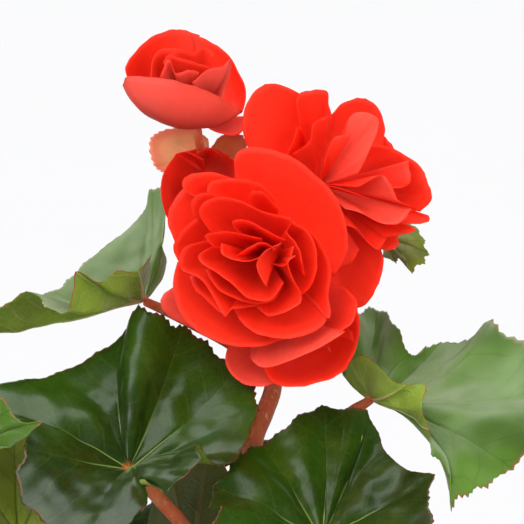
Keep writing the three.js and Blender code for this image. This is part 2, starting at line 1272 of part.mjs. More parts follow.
function geometryFrom(solid) {
  const mesh = solid.getMesh();
  const geometry = new THREE.BufferGeometry();
  geometry.setAttribute("position", new THREE.BufferAttribute(mesh.vertProperties, 3));
  geometry.setIndex(new THREE.BufferAttribute(mesh.triVerts, 1));
  return geometry;
}

// The largest piece of a solid that a cut has parted
function largest(solid) {
  return solid.decompose().reduce((a, b) => (a.volume() > b.volume() ? a : b));
}

// A blade's surface: ribs curve from the foot through their middles to the rim.
function fan(foot, middles, tips, closed = false) {
  const middleLine = new THREE.CatmullRomCurve3(middles, closed, "catmullrom");
  const tipLine = new THREE.CatmullRomCurve3(tips, closed, "catmullrom");
  return (turn, reach) => {
    const middle = middleLine.getPoint(turn);
    const tip = tipLine.getPoint(turn);
    const control = middle.multiplyScalar(2).addScaledVector(foot, -0.5).addScaledVector(tip, -0.5);
    return foot
      .clone()
      .multiplyScalar((1 - reach) ** 2)
      .addScaledVector(control, 2 * reach * (1 - reach))
      .addScaledVector(tip, reach ** 2);
  };
}

// The surface's normal, on the side from which the ribs run clockwise
function fanNormal(surface, turn, reach) {
  const step = 0.004;
  const turnWay = surface(turn + step, reach).sub(surface(turn - step, reach));
  const reachWay = surface(turn, reach + step).sub(surface(turn, reach - step));
  return turnWay.cross(reachWay).normalize();
}

// A blade of even thickness on both sides of a fan's surface, joined from its strips between ribs,
// so that folds that press against each other close up
function bladeSolid(surface, options) {
  const { across, along, thickness, closed = false, folded = false, edge = () => 1 } = options;
  const column = (i, reaches) =>
    reaches.map((reach) => {
      const turn = closed ? (i % across) / across : THREE.MathUtils.clamp(i / across, 0.005, 0.995);
      const cut = reach === 1 ? edge(i % across) : reach;
      const middle = surface((closed ? i % across : i) / across, cut);
      return { middle, normal: fanNormal(surface, turn, Math.min(cut, 0.99)), half: thickness / 2 };
    });
  const reaches = Array.from({ length: along }, (_, j) => (j + 1) / along);
  if (folded) reaches.unshift(FOOT_RING);
  const columns = Array.from({ length: across + 1 }, (_, i) => column(i, reaches));
  const footNormal = new THREE.Vector3();
  for (const rows of columns) {
    footNormal.add(rows[0].normal);
  }
  footNormal.normalize();
  columns.forEach((rows, i) => {
    rows.forEach((row, j) => {
      for (const beside of [columns[i - 1], columns[i + 1]]) {
        if (!beside) continue;
        const bend = row.normal.distanceTo(beside[j].normal);
        const room = (0.8 * row.middle.distanceTo(beside[j].middle)) / Math.max(bend, 0.01);
        row.half = Math.min(row.half, room);
      }
    });
  });
  if (closed) columns[across].forEach((row, j) => Object.assign(row, columns[0][j]));
  const foot = { middle: surface(0, 0), normal: footNormal, half: folded ? 0 : thickness / 2 };
  columns.forEach((rows) => rows.unshift(foot));
  const rings = columns[0].length - 1;
  const corner = ({ middle, normal, half }, side) => middle.clone().addScaledVector(normal, side * half);
  const strips = [];
  for (let i = 0; i < across; i += 1) {
    const positions = [];
    for (const rows of [columns[i], columns[i + 1]]) {
      rows.forEach((row) => positions.push(...corner(row, 1), ...corner(row, -1)));
    }
    const size = 2 * (rings + 1);
    const near = (j, side) => 2 * j + side;
    const far = (j, side) => (j === 0 ? side : size + 2 * j + side);
    const triangles = [near(0, 0), far(1, 0), near(1, 0), near(0, 1), near(1, 1), far(1, 1)];
    const quad = (a, b, c, d) => triangles.push(a, b, c, a, c, d);
    for (let j = 0; j < rings; j += 1) {
      if (j > 0) {
        quad(near(j, 0), far(j, 0), far(j + 1, 0), near(j + 1, 0));
        quad(far(j + 1, 1), far(j, 1), near(j, 1), near(j + 1, 1));
      }
      quad(near(j, 0), near(j + 1, 0), near(j + 1, 1), near(j, 1));
      triangles.push(far(j, 0), far(j + 1, 1), far(j + 1, 0), far(j, 0), far(j, 1), far(j + 1, 1));
    }
    quad(near(rings, 0), far(rings, 0), far(rings, 1), near(rings, 1));
    const geometry = new THREE.BufferGeometry();
    geometry.setAttribute("position", new THREE.BufferAttribute(new Float32Array(positions), 3));
    geometry.setIndex(triangles);
    strips.push(solidFrom(geometry));
  }
  return wasm.Manifold.union(strips);
}

// A round rod along a smooth line, with the radius given at each of its points
function rodGeometry(points, radii, sides) {
  const line = new THREE.CatmullRomCurve3(points, false, "centripetal");
  const steps = points.length - 1;
  const centres = Array.from({ length: steps + 1 }, (_, k) => line.getPoint(k / steps));
  const positions = [];
  let side = new THREE.Vector3(1, 0, 0);
  centres.forEach((centre, k) => {
    const ahead = line.getTangent(k / steps);
    side = side.clone().addScaledVector(ahead, -side.dot(ahead)).normalize();
    const across = ahead.clone().cross(side);
    for (let s = 0; s < sides; s += 1) {
      const angle = (2 * Math.PI * s) / sides;
      const point = centre
        .clone()
        .addScaledVector(side, radii[k] * Math.cos(angle))
        .addScaledVector(across, radii[k] * Math.sin(angle));
      positions.push(...point);
    }
  });
  positions.push(...centres[0], ...centres[steps]);
  const triangles = [];
  const at = (k, s) => k * sides + (s % sides);
  const first = (steps + 1) * sides;
  for (let s = 0; s < sides; s += 1) {
    for (let k = 0; k < steps; k += 1) {
      triangles.push(at(k, s), at(k, s + 1), at(k + 1, s + 1));
      triangles.push(at(k, s), at(k + 1, s + 1), at(k + 1, s));
    }
    triangles.push(first, at(0, s + 1), at(0, s));
    triangles.push(first + 1, at(steps, s), at(steps, s + 1));
  }
  const geometry = new THREE.BufferGeometry();
  geometry.setAttribute("position", new THREE.BufferAttribute(new Float32Array(positions), 3));
  geometry.setIndex(triangles);
  return geometry;
}

// A leaf whose ribs were read off the photograph
function seenLeafSurface({ foot, ribs, closed }) {
  const middles = ribs.map(([x, y, depth]) => seen([x, y, depth]));
  const tips = ribs.map(([, , , x, y, depth]) => seen([x, y, depth]));
  return fan(seen(foot), middles, tips, closed);
}

// A leaf of the common heart shape, lopsided as a begonia's is
function roundLeafSurface({ foot, heading, slope, length }, closed = false) {
  const start = new THREE.Vector3(...foot);
  const turn = THREE.MathUtils.degToRad(heading);
  const tilt = THREE.MathUtils.degToRad(slope);
  const outward = new THREE.Vector3(Math.cos(turn), Math.sin(turn), 0);
  const ahead = outward.clone().multiplyScalar(Math.cos(tilt));
  ahead.z = Math.sin(tilt);
  const aside = new THREE.Vector3(-Math.sin(turn), Math.cos(turn), 0);
  const above = ahead.clone().cross(aside);
  const rib = ([angle, share, droop], index, reach) => {
    const bearing = THREE.MathUtils.degToRad(-angle);
    const ripple = (index % 2 === 0 ? 0.035 : -0.035) * reach;
    return start
      .clone()
      .addScaledVector(ahead, reach * length * share * Math.cos(bearing))
      .addScaledVector(aside, reach * length * share * Math.sin(bearing))
      .addScaledVector(above, length * (0.16 * reach - (droop + 0.16) * reach ** 2 + ripple));
  };
  const middles = HEART_RIBS.map((row, index) => rib(row, index, 0.5));
  const tips = HEART_RIBS.map((row, index) => rib(row, index, 1));
  return fan(start, middles, tips, closed);
}

// A petal or bract: its rim's points, and its belly, fullest at the petal's middle
function petalSurface(bloomFoot, { foot = bloomFoot, belly, rim }) {
  const tips = rim.map(seen);
  const middles = rim.map((tip, index) => {
    const fullness = 0.55 + 0.45 * Math.sin((Math.PI * index) / (rim.length - 1));
    return seen(tip.map((value, axis) => (value + foot[axis]) / 2 + belly[axis] * fullness));
  });
  return fan(seen(foot), middles, tips);
}

function leafSurface(name, closed) {
  if (ROUND_LEAVES[name]) return roundLeafSurface(ROUND_LEAVES[name], closed);
  return seenLeafSurface({ ...SEEN_LEAVES[name], closed });
}

const SURFACES = {};
for (const name of [...Object.keys(SEEN_LEAVES), ...Object.keys(ROUND_LEAVES)]) {
  SURFACES[name] = leafSurface(name, Boolean(SEEN_LEAVES[name]?.closed));
}

// A leaf has a tooth at each rib, and a notch midway between two.
function leafBlade(name, surface, closed, extra) {
  const leaf = SEEN_LEAVES[name];
  const ribs = leaf ? leaf.ribs.length : HEART_RIBS.length;
  return bladeSolid(surface, {
    across: 2 * (closed ? ribs : ribs - 1),
    along: leaf && !leaf.folded ? LEAF_STEPS_ALONG : ROUND_LEAF_STEPS_ALONG,
    thickness: LEAF_THICKNESS + 2 * extra,
    closed,
    folded: Boolean(leaf?.folded),
    edge: (i) => (i % 2 === 0 ? 1 : 1 - TOOTH_DEPTH),
  });
}

// A folded leaf has a small swelling at its foot.
function leafKnuckle(name, extra) {
  const [x, y, z] = SURFACES[name](0, 0);
  return solidFrom(new THREE.OctahedronGeometry(LEAF_KNUCKLE_RADIUS + extra, 1).translate(x, y, z));
}

function leafSolid(name) {
  const leaf = SEEN_LEAVES[name];
  const blade = leafBlade(name, SURFACES[name], Boolean(leaf?.closed), 0);
  return largest(leaf?.folded ? blade.add(leafKnuckle(name, 0)) : blade);
}

// What trims a stalk's end: a folded leaf's swelling grown by the gap, or a plain disc that lies
// along the leaf's foot, a gap beneath the blade as the stalk arrives
function leafTrim(name, arrival) {
  if (SEEN_LEAVES[name]?.folded) return leafKnuckle(name, 1.2 * GAP);
  const surface = SURFACES[name];
  const foot = surface(0, 0);
  const turns = Array.from({ length: 24 }, (_, k) => (k + 0.5) / 24);
  const normals = turns.map((turn) => fanNormal(surface, turn, FOOT_RING));
  const normal = normals.reduce((sum, each) => sum.add(each), new THREE.Vector3()).normalize();
  if (normal.dot(arrival) < 0) normal.negate();
  const slopes = turns.map((turn) => surface(turn, FOOT_RING).sub(foot).normalize().dot(normal));
  const beneath = Math.min(0, ...slopes) * TRIM_RADIUS * 0.5 - LEAF_THICKNESS / 2 - 1.2 * GAP;
  const disc = new THREE.CylinderGeometry(TRIM_RADIUS, TRIM_RADIUS, TRIM_RADIUS, 8)
    .translate(0, TRIM_RADIUS / 2 + beneath, 0)
    .applyQuaternion(new THREE.Quaternion().setFromUnitVectors(new THREE.Vector3(0, 1, 0), normal))
    .translate(foot.x, foot.y, foot.z);
  return solidFrom(disc);
}

function petalSolid(bloomFoot, petal) {
  return bladeSolid(petalSurface(bloomFoot, petal), {
    across: petal.rim.length > 4 ? petal.rim.length - 1 : petal.rim.length,
    along: PETAL_STEPS_ALONG,
    thickness: PETAL_THICKNESS,
  });
}

// Where a stalk ends: in the middle of the blade's foot, or in the bloom's core
function carriedFoot(name) {
  if (ROUND_LEAVES[name]) return new THREE.Vector3(...ROUND_LEAVES[name].foot);
  return seen((SEEN_LEAVES[name] || BLOOMS[name]).foot);
}

function runPoint(run, index) {
  const [x, y, z] = run.points[index];
  return run.placed ? new THREE.Vector3(x, y, z) : seen([x, y, z]);
}

// One run of a stem as a rod, made wider and longer where it serves as the tool of a cut
function runGeometry(stem, run, extra = 0) {
  const points = run.points.map((_, index) => runPoint(run, index));
  const radii = run.points.map((row) => row[3] + extra);
  if (run.rooted) {
    const [x, y] = stem.base;
    points.unshift(
      new THREE.Vector3(x, y, SOIL_HEIGHT - STEM_HOLE_DEPTH - extra),
      new THREE.Vector3(x, y, SOIL_HEIGHT + 3),
    );
    radii.unshift(radii[0], radii[0]);
  }
  if (run.carries) {
    const end = carriedFoot(run.carries);
    const last = points[points.length - 1];
    const short = SEEN_LEAVES[run.carries]?.folded ? LEAF_KNUCKLE_RADIUS : 0;
    end.addScaledVector(end.clone().sub(last).normalize(), extra - short);
    points.push(end);
    radii.push(radii[radii.length - 1] * 0.9);
  }
  return rodGeometry(points, radii, run.rooted ? MAIN_STEM_SIDES : STALK_SIDES);
}

function stemSolid(stem, extra = 0) {
  return stem.runs
    .map((run) => solidFrom(runGeometry(stem, run, extra)))
    .reduce((whole, rod) => whole.add(rod));
}

// Stalks end a gap short of the leaves that they carry.
function buildStem(stem) {
  let solid = stemSolid(stem);
  for (const run of stem.runs) {
    if (run.carries && SURFACES[run.carries]) {
      const arrival = carriedFoot(run.carries).sub(runPoint(run, run.points.length - 1));
      solid = solid.subtract(leafTrim(run.carries, arrival));
    }
  }
  return largest(solid);
}

// Petals sit in turn along the bloom's axis, guard petals at its foot and the heart at its end.
function buildBloom({ foot, axis, petals }, stalks) {
  const rows = Object.values(petals);
  const ends = [foot, foot.map((value, index) => value + axis[index])].map(seen);
  const core = rodGeometry(ends, [BLOOM_CORE_RADIUS, BLOOM_CORE_RADIUS / 2], STALK_SIDES);
  let solid = solidFrom(core);
  rows.forEach((petal, row) => {
    const height = row / (rows.length - 1);
    const petalFoot = foot.map((value, index) => value + axis[index] * height);
    solid = solid.add(petalSolid(petalFoot, petal));
  });
  return largest(solid.subtract(stalks));
}

function buildBract(bract, stalks) {
  return largest(petalSolid(bract.foot, bract).subtract(stalks));
}

// The pot is turned round its axis: a flared wall, a rim band and a flat foot.
function buildPot() {
  const bandFoot = POT_HEIGHT - RIM_BAND_HEIGHT;
  const bandFootRadius = POT_RIM_RADIUS - RIM_BAND_STEP - 2;
  const outline = [
    [0, 0],
    [POT_FOOT_RADIUS - 1.5, 0],
    [POT_FOOT_RADIUS, 1.5],
    [bandFootRadius, bandFoot],
    [POT_RIM_RADIUS - 2, bandFoot + 1.5],
    [POT_RIM_RADIUS, POT_HEIGHT - 2.5],
    [POT_RIM_RADIUS - 1.5, POT_HEIGHT],
    [POT_RIM_RADIUS - POT_WALL, POT_HEIGHT],
    [POT_RIM_RADIUS - POT_WALL - 1, POT_HEIGHT - 2.5],
    [bandFootRadius - POT_WALL, bandFoot - 6],
    [POT_FOOT_RADIUS - POT_WALL, POT_FLOOR],
    [0, POT_FLOOR],
  ];
  const turned = new THREE.LatheGeometry(
    outline.map(([radius, height]) => new THREE.Vector2(radius, height)),
    ROUND_STEPS,
  ).rotateX(Math.PI / 2);
  let pot = solidFrom(turned);
  if (pot.volume() < 0) throw new Error("the pot's outline runs the wrong way");
  for (let hole = 0; hole < 3; hole += 1) {
    const angle = (2 * Math.PI * hole) / 3 + Math.PI / 2;
    const drill = new THREE.CylinderGeometry(DRAIN_HOLE_RADIUS, DRAIN_HOLE_RADIUS, POT_FLOOR * 3, 12)
      .rotateX(Math.PI / 2)
      .translate(DRAIN_CIRCLE_RADIUS * Math.cos(angle), DRAIN_CIRCLE_RADIUS * Math.sin(angle), 0);
    pot = pot.subtract(solidFrom(drill));
  }
  return pot;
}

// The soil fills the pot's inside, crumbly on top, with a plain hole for each stem.
function buildSoil() {
  const bandFoot = POT_HEIGHT - RIM_BAND_HEIGHT;
  const shoulder = POT_RIM_RADIUS - RIM_BAND_STEP - 2 - POT_WALL - GAP;
  const lowRadius = POT_FOOT_RADIUS - POT_WALL - GAP;
  const slope = (POT_RIM_RADIUS - POT_WALL - 1 - GAP - shoulder) / (POT_HEIGHT - 2.5 - (bandFoot - 6));
  const topRadius = shoulder + slope * (SOIL_HEIGHT - (bandFoot - 6));
  const rings = [1, 0.75, 0.5, 0.25];
  const outline = [
    [0, POT_FLOOR + GAP],
    [lowRadius, POT_FLOOR + GAP],
    [shoulder, bandFoot - 6],
    ...rings.map((share) => [topRadius * share, SOIL_HEIGHT]),
    [0, SOIL_HEIGHT],
  ];
  const turned = new THREE.LatheGeometry(
    outline.map(([radius, height]) => new THREE.Vector2(radius, height)),
    ROUND_STEPS,
  ).rotateX(Math.PI / 2);
  const place = turned.attributes.position;
  for (let k = 0; k < place.count; k += 1) {
    const [x, y, z] = [place.getX(k), place.getY(k), place.getZ(k)];
    if (z > SOIL_HEIGHT - 0.01 && Math.hypot(x, y) < 0.9 * topRadius) {
      const ripple = Math.sin(0.31 * x + 1.3) * Math.cos(0.27 * y + 0.4 * Math.sin(0.2 * x));
      place.setZ(k, z + SOIL_RELIEF * ripple);
    }
  }
  let soil = solidFrom(turned);
  for (const stem of Object.values(STEMS)) {
    const radius = stem.runs[0].points[0][3] + 0.6;
    const depth = STEM_HOLE_DEPTH + GAP;
    const drill = new THREE.CylinderGeometry(radius, radius, 2 * depth, 12)
      .rotateX(Math.PI / 2)
      .translate(stem.base[0], stem.base[1], SOIL_HEIGHT);
    soil = soil.subtract(solidFrom(drill));
  }
  return soil;
}

const FINISHES = {
  clay: new THREE.MeshStandardMaterial({ color: 0xb5653c, roughness: 0.85, metalness: 0 }),
  soil: new THREE.MeshStandardMaterial({ color: 0x2e2119, roughness: 0.95, metalness: 0 }),
  stalk: new THREE.MeshStandardMaterial({ color: 0xb04b32, roughness: 0.4, metalness: 0 }),
  leaf: new THREE.MeshStandardMaterial({ color: 0x2a5214, roughness: 0.35, metalness: 0 }),
  leaf_light: new THREE.MeshStandardMaterial({ color: 0x4f7d34, roughness: 0.4, metalness: 0 }),
  petal: new THREE.MeshStandardMaterial({ color: 0xf52a1c, roughness: 0.5, metalness: 0 }),
  bract: new THREE.MeshStandardMaterial({ color: 0xd9825a, roughness: 0.5, metalness: 0 }),
};

const begonia = new THREE.Group();

function place(name, solid, finish) {
  const mesh = new THREE.Mesh(geometryFrom(solid), FINISHES[finish].clone());
  mesh.name = name;
  begonia.add(mesh);
}

place("pot", buildPot(), "clay");
place("soil", buildSoil(), "soil");
for (const [name, stem] of Object.entries(STEMS)) {
  place(name, buildStem(stem), "stalk");
}
for (const name of Object.keys(SURFACES)) {
  const light = name === "leaf_d" || name === "leaf_e" || name === "leaf_f" || name === "leaf_q";
  place(name, leafSolid(name), light ? "leaf_light" : "leaf");
}
const stalkTools = stemSolid(STEMS.stem_flowering, GAP);
for (const [name, bloom] of Object.entries(BLOOMS)) {
  place(name, buildBloom(bloom, stalkTools), "petal");
}
for (const [name, bract] of Object.entries(BRACTS)) {
  place(name, buildBract(bract, stalkTools), "bract");
}

export default begonia;
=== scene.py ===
"""A potted begonia with double scarlet blooms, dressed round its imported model. Metres, +Z up."""
import math
import random

import bmesh
import bpy
from bpy.props import FloatProperty, FloatVectorProperty, PointerProperty
from mathutils import Matrix, Vector, noise


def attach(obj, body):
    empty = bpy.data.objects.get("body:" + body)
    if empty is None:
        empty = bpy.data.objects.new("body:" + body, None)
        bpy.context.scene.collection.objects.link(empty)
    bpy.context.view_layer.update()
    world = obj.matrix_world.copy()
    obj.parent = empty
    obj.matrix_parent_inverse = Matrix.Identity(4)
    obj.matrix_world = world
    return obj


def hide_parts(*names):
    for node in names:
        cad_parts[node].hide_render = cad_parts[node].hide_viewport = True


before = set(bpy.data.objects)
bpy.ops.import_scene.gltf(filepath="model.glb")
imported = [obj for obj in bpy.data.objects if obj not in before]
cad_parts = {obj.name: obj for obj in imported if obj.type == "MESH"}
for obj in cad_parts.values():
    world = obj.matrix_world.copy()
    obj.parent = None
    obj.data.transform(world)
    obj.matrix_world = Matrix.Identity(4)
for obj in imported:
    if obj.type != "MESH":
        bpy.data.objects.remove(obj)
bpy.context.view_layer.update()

bl_info = {
    "name": "Potted begonia",
    "version": (1, 0, 0),
    "blender": (4, 5, 0),
    "location": "3D View > Sidebar > Begonia",
    "description": "Builds the blooms, leaves, stems, soil and pot of a begonia",
    "category": "Add Mesh",
}

MM = 0.001
SOIL_SEED = 56
BLADE_SEED = 58

# Where places of the tables lie: pixels of a 524-pixel view, with a depth in millimetres
PIXEL = 61 / 183
VIEW_MIDDLE_PIXEL = 262
VIEW_MIDDLE_HEIGHT = 245
VIEW_DISTANCE = 1300
VIEW_ELEVATION = math.radians(8)
LOOK = Vector((0, math.cos(VIEW_ELEVATION), -math.sin(VIEW_ELEVATION)))
LOOK_UP = Vector((0, math.sin(VIEW_ELEVATION), math.cos(VIEW_ELEVATION)))

# Pot and soil, in millimetres
POT_HEIGHT = 115
POT_RIM_RADIUS = 65
POT_FOOT_RADIUS = 45
POT_WALL = 5
POT_FLOOR = 7
RIM_BAND_FOOT = POT_HEIGHT - 27
NECK_RADIUS = POT_RIM_RADIUS - 6
DRAIN_HOLE_RADIUS = 5
DRAIN_CIRCLE_RADIUS = 26
SOIL_HEIGHT = 102
STEM_HOLE_DEPTH = 24
CRUMBS = 420

# How finely the pieces are divided
POT_STEPS = 96
SOIL_STEPS = 120
SOIL_RINGS = 36
LEAF_ROWS = 36
ROUND_LEAF_ROWS = 24
PETAL_ROWS = 16
PETAL_COLUMNS = 6
BRACT_COLUMNS = 12

# Shares of a round leaf's length by which its ribs ripple and arch
RIB_RIPPLE = 0.035
RIB_ARCH = 0.16
# Teeth to each rib, how far the fields between veins swell, and the side veins' slant and distance
SMALL_TEETH = 4
FIELD_SWELL = 0.035
SIDE_VEIN_SLANT = 0.9
SIDE_VEIN_DISTANCE = 10
# Heights of a leaf's waves, rucks and puffs between side veins, and its furrows' depth and width, in mm
WAVE_HEIGHT = 2.4
RUCK_HEIGHT = 0.8
PUFF_HEIGHT = 0.12
FURROW_DEPTH = 0.3
FURROW_WIDTH = 0.8
# Heights of a petal's flutter and pleats in mm, and depths of its notches and a bract's as shares
FLUTTER_HEIGHT = 0.75
PLEAT_HEIGHT = 0.22
PETAL_NOTCH = 0.02
BRACT_NOTCH = 0.035
# Blades get thinner over this share of their reach and turn, down to this share of their thickness
THIN_REACH = 0.12
THIN_TURN = 0.05
RIM_THINNESS = 0.3
# How much the petals of a bloom differ in tone
TONE_SPREAD = 0.3
# A step aside along a blade, what counts as no turn or reach, and how near places are merged, in mm
NEXT_TO = 0.004
NOTHING = 1e-5
MERGE_DISTANCE = 1e-4
# Share of its radius to which a stalk narrows at its end, and how often the forks are smoothed
STALK_TIP = 0.9
FORK_SMOOTHINGS = 4

# Each leaf's foot, whether its ribs run all round it, and its ribs in turn: the place half-way along a
# rib, x, y and depth, and the place of its tip
SEEN_LEAVES = {
    "leaf_a": ((144, 301, 10), False, [
        (149, 279, 5, 153, 256, -1), (141, 287, 1, 137, 270, -9), (131, 290, -3, 118, 272, -16),
        (121, 296, -5, 98, 284, -21), (109, 291, -6, 75, 271, -24), (107, 303, -5, 72, 300, -23),
        (103, 310, -5, 62, 315, -23), (94, 309, -4, 44, 306, -20), (85, 305, -3, 26, 294, -17),
        (72, 313, -1, -4, 314, -14), (58, 322, 1, -34, 338, -8), (66, 317, 6, -14, 316, 3),
        (82, 311, 9, 22, 298, 11), (94, 306, 12, 49, 291, 16), (104, 300, 14, 66, 281, 21),
        (114, 287, 17, 84, 266, 26), (126, 271, 19, 108, 245, 29), (138, 256, 20, 142, 216, 30),
        (146, 248, 20, 148, 189, 28), (153, 246, 18, 161, 187, 24), (157, 251, 17, 168, 212, 19),
        (156, 268, 16, 162, 240, 17), (157, 281, 16, 165, 262, 21), (152, 292, 14, 157, 284, 18)]),
    "leaf_b": ((128.5, 469.5, -26), True, [
        (141, 480, -33, 152, 489, -40), (139, 487, -36, 152, 502, -44), (133, 496, -40, 147, 519, -50),
        (120, 502, -43, 126, 541, -58), (105, 503, -44, 88, 548, -61), (89, 495, -43, 47, 533, -58),
        (77, 487, -41, 21, 508, -51), (72, 474, -37, 14, 474, -44), (72, 462, -34, 23, 447, -38),
        (66, 446, -29, 20, 428, -26), (58, 430, -24, -14, 405, -18), (62, 418, -21, -8, 390, -12),
        (76, 413, -18, 26, 389, -7), (92, 410, -16, 58, 377, -4), (106, 405, -15, 96, 352, -2),
        (121, 400, -14, 126, 331, 0), (133, 398, -18, 141, 308, 1), (146, 398, -14, 163, 315, -1),
        (160, 400, -12, 187, 323, 1), (171, 409, -13, 208, 340, 1), (180, 424, -15, 231, 364, -1),
        (188, 436, -18, 257, 388, -7), (190, 446, -21, 261, 414, -15), (185, 452, -26, 251, 440, -25),
        (178, 458, -29, 236, 462, -32), (172, 461, -31, 215, 467, -35), (168, 461, -36, 200, 447, -45),
        (168, 468, -41, 206, 461, -53), (160, 475, -41, 192, 480, -52), (152, 480, -38, 174, 498, -51),
        (147, 481, -36, 165, 495, -47)]),
    "leaf_c": ((322, 541, -32), False, [
        (269, 519, -49, 219, 507, -60), (268, 533, -52, 210, 528, -66), (276, 548, -53, 224, 556, -69),
        (292, 557, -52, 258, 574, -69), (311, 561, -50, 300, 582, -66), (332, 560, -47, 342, 581, -61),
        (353, 555, -43, 383, 570, -55), (370, 546, -39, 417, 550, -46), (381, 536, -34, 436, 524, -38),
        (385, 521, -28, 433, 500, -30), (386, 505, -22, 438, 477, -24), (376, 494, -18, 412, 475, -15),
        (365, 480, -13, 390, 457, -7), (358, 468, -10, 378, 432, -3), (350, 464, -8, 369, 411, 1),
        (339, 464, -14, 347, 407, 0), (326, 462, -11, 322, 408, 2), (311, 468, -16, 298, 417, -1),
        (297, 478, -19, 275, 433, -6), (285, 489, -25, 250, 446, -14), (276, 499, -31, 232, 465, -24),
        (266, 509, -35, 210, 485, -35), (262, 519, -39, 206, 511, -43)]),
    "leaf_d": ((371.5, 399, 8), True, [
        (357, 389, 9, 341, 377, 10), (354, 372, 13, 342, 350, 17), (361, 355, 20, 355, 321, 32),
        (368, 350, 24, 369, 307, 37), (377, 352, 27, 388, 312, 34), (384, 360, 23, 403, 331, 26),
        (391, 371, 18, 411, 354, 21), (398, 377, 17, 424, 347, 27), (406, 379, 17, 441, 341, 29),
        (421, 384, 14, 477, 339, 27), (432, 387, 10, 495, 321, 20), (446, 393, 5, 525, 342, 14),
        (460, 399, 0, 557, 372, 4), (461, 412, -5, 561, 411, -6), (456, 423, -9, 541, 446, -14),
        (449, 431, -12, 514, 470, -20), (441, 437, -13, 487, 491, -24), (434, 440, -14, 467, 500, -26),
        (428, 442, -14, 451, 513, -28), (424, 432, -13, 444, 476, -26), (418, 425, -12, 428, 456, -24),
        (409, 417, -9, 430, 430, -22), (399, 409, -7, 418, 406, -20), (396, 400, -5, 424, 384, -16),
        (388, 396, -2, 406, 384, -10), (378, 391, 1, 384, 377, -6), (366, 382, 5, 358, 360, -2),
        (360, 385, 7, 346, 369, 4)]),
    "leaf_e": ((386, 240, 26), False, [
        (384, 249, 22, 383, 259, 17), (390, 251, 20, 396, 263, 13), (396, 250, 18, 405, 260, 11),
        (400, 256, 17, 413, 273, 12), (405, 250, 18, 425, 265, 14), (408, 245, 19, 430, 255, 17),
        (407, 239, 21, 425, 242, 21), (404, 233, 24, 419, 229, 26), (397, 229, 27, 406, 220, 30),
        (390, 228, 29, 391, 215, 33), (380, 231, 30, 376, 219, 34)]),
    "leaf_f": ((-40, 450, -32), True, [
        (-30, 462, -33, -20, 472, -38), (-40, 466, -33, -40, 481, -40), (-54, 462, -33, -68, 472, -40),
        (-62, 450, -31, -84, 448, -38), (-62, 436, -29, -84, 422, -34), (-56, 424, -28, -70, 400, -31),
        (-44, 418, -27, -46, 389, -29), (-30, 417, -27, -20, 388, -30), (-18, 422, -28, 4, 398, -34),
        (-10, 431, -30, 20, 419, -38), (0, 434, -32, 42, 422, -43), (-8, 440, -32, 27, 438, -40),
        (-14, 445, -32, 12, 447, -37), (-20, 448, -32, 0, 450, -36), (-24, 454, -32, -8, 458, -37)]),
    "leaf_g": ((192, 566, -1), False, [
        (176, 560, -2, 158, 566, -1), (168, 540, 0, 146, 535, 4), (168, 520, 0, 150, 500, 3),
        (178, 505, -2, 170, 470, -3), (192, 500, -3, 195, 455, -6), (208, 505, -2, 222, 464, -5),
        (220, 518, 0, 240, 492, -1), (222, 536, 2, 244, 525, 4), (216, 554, 1, 236, 556, 4),
        (208, 562, -1, 222, 574, 0)]),
    "leaf_q": ((18, 540, -24), False, [
        (2, 552, -26, -20, 560, -34), (-8, 534, -28, -40, 530, -38), (-10, 518, -28, -42, 500, -38),
        (-4, 504, -24, -30, 470, -30), (5, 491, -22, -8, 440, -26), (16, 486, -20, 14, 431, -23),
        (27, 489, -19, 35, 434, -22), (36, 500, -20, 51, 457, -23), (40, 514, -21, 58, 490, -26),
        (37, 529, -22, 54, 520, -28), (29, 543, -24, 40, 548, -30)]),
}
# Leaves that the view doesn't show well: foot in millimetres, heading and slope in degrees, length
ROUND_LEAVES = {
    "leaf_h": ((41, -43, 139), -50, -28, 50),
    "leaf_i": ((-22, -54, 132), -118, -30, 46),
    "leaf_j": ((62, 2, 130), -2, -30, 54),
    "leaf_k": ((42, 44, 147), 52, -24, 54),
    "leaf_l": ((0, 60, 130), 94, -28, 54),
    "leaf_m": ((-42, 48, 150), 140, -20, 54),
    "leaf_n": ((-62, 5, 132), 177, -30, 54),
    "leaf_o": ((3, 55, 172), 88, -6, 48),
    "leaf_p": ((-30, 40, 200), 122, 8, 44),
}
# Their ribs: degrees off the heading, share of the length, and droop of the tip as a share of it
HEART_RIBS = [
    (-158, 0.52, 0.1), (-128, 0.66, 0.16), (-98, 0.74, 0.2), (-70, 0.78, 0.2), (-45, 0.82, 0.17),
    (-22, 0.86, 0.16), (0, 1, 0.22), (22, 0.84, 0.16), (46, 0.74, 0.17), (72, 0.68, 0.2), (100, 0.6, 0.18),
    (130, 0.54, 0.14), (158, 0.46, 0.1),
]
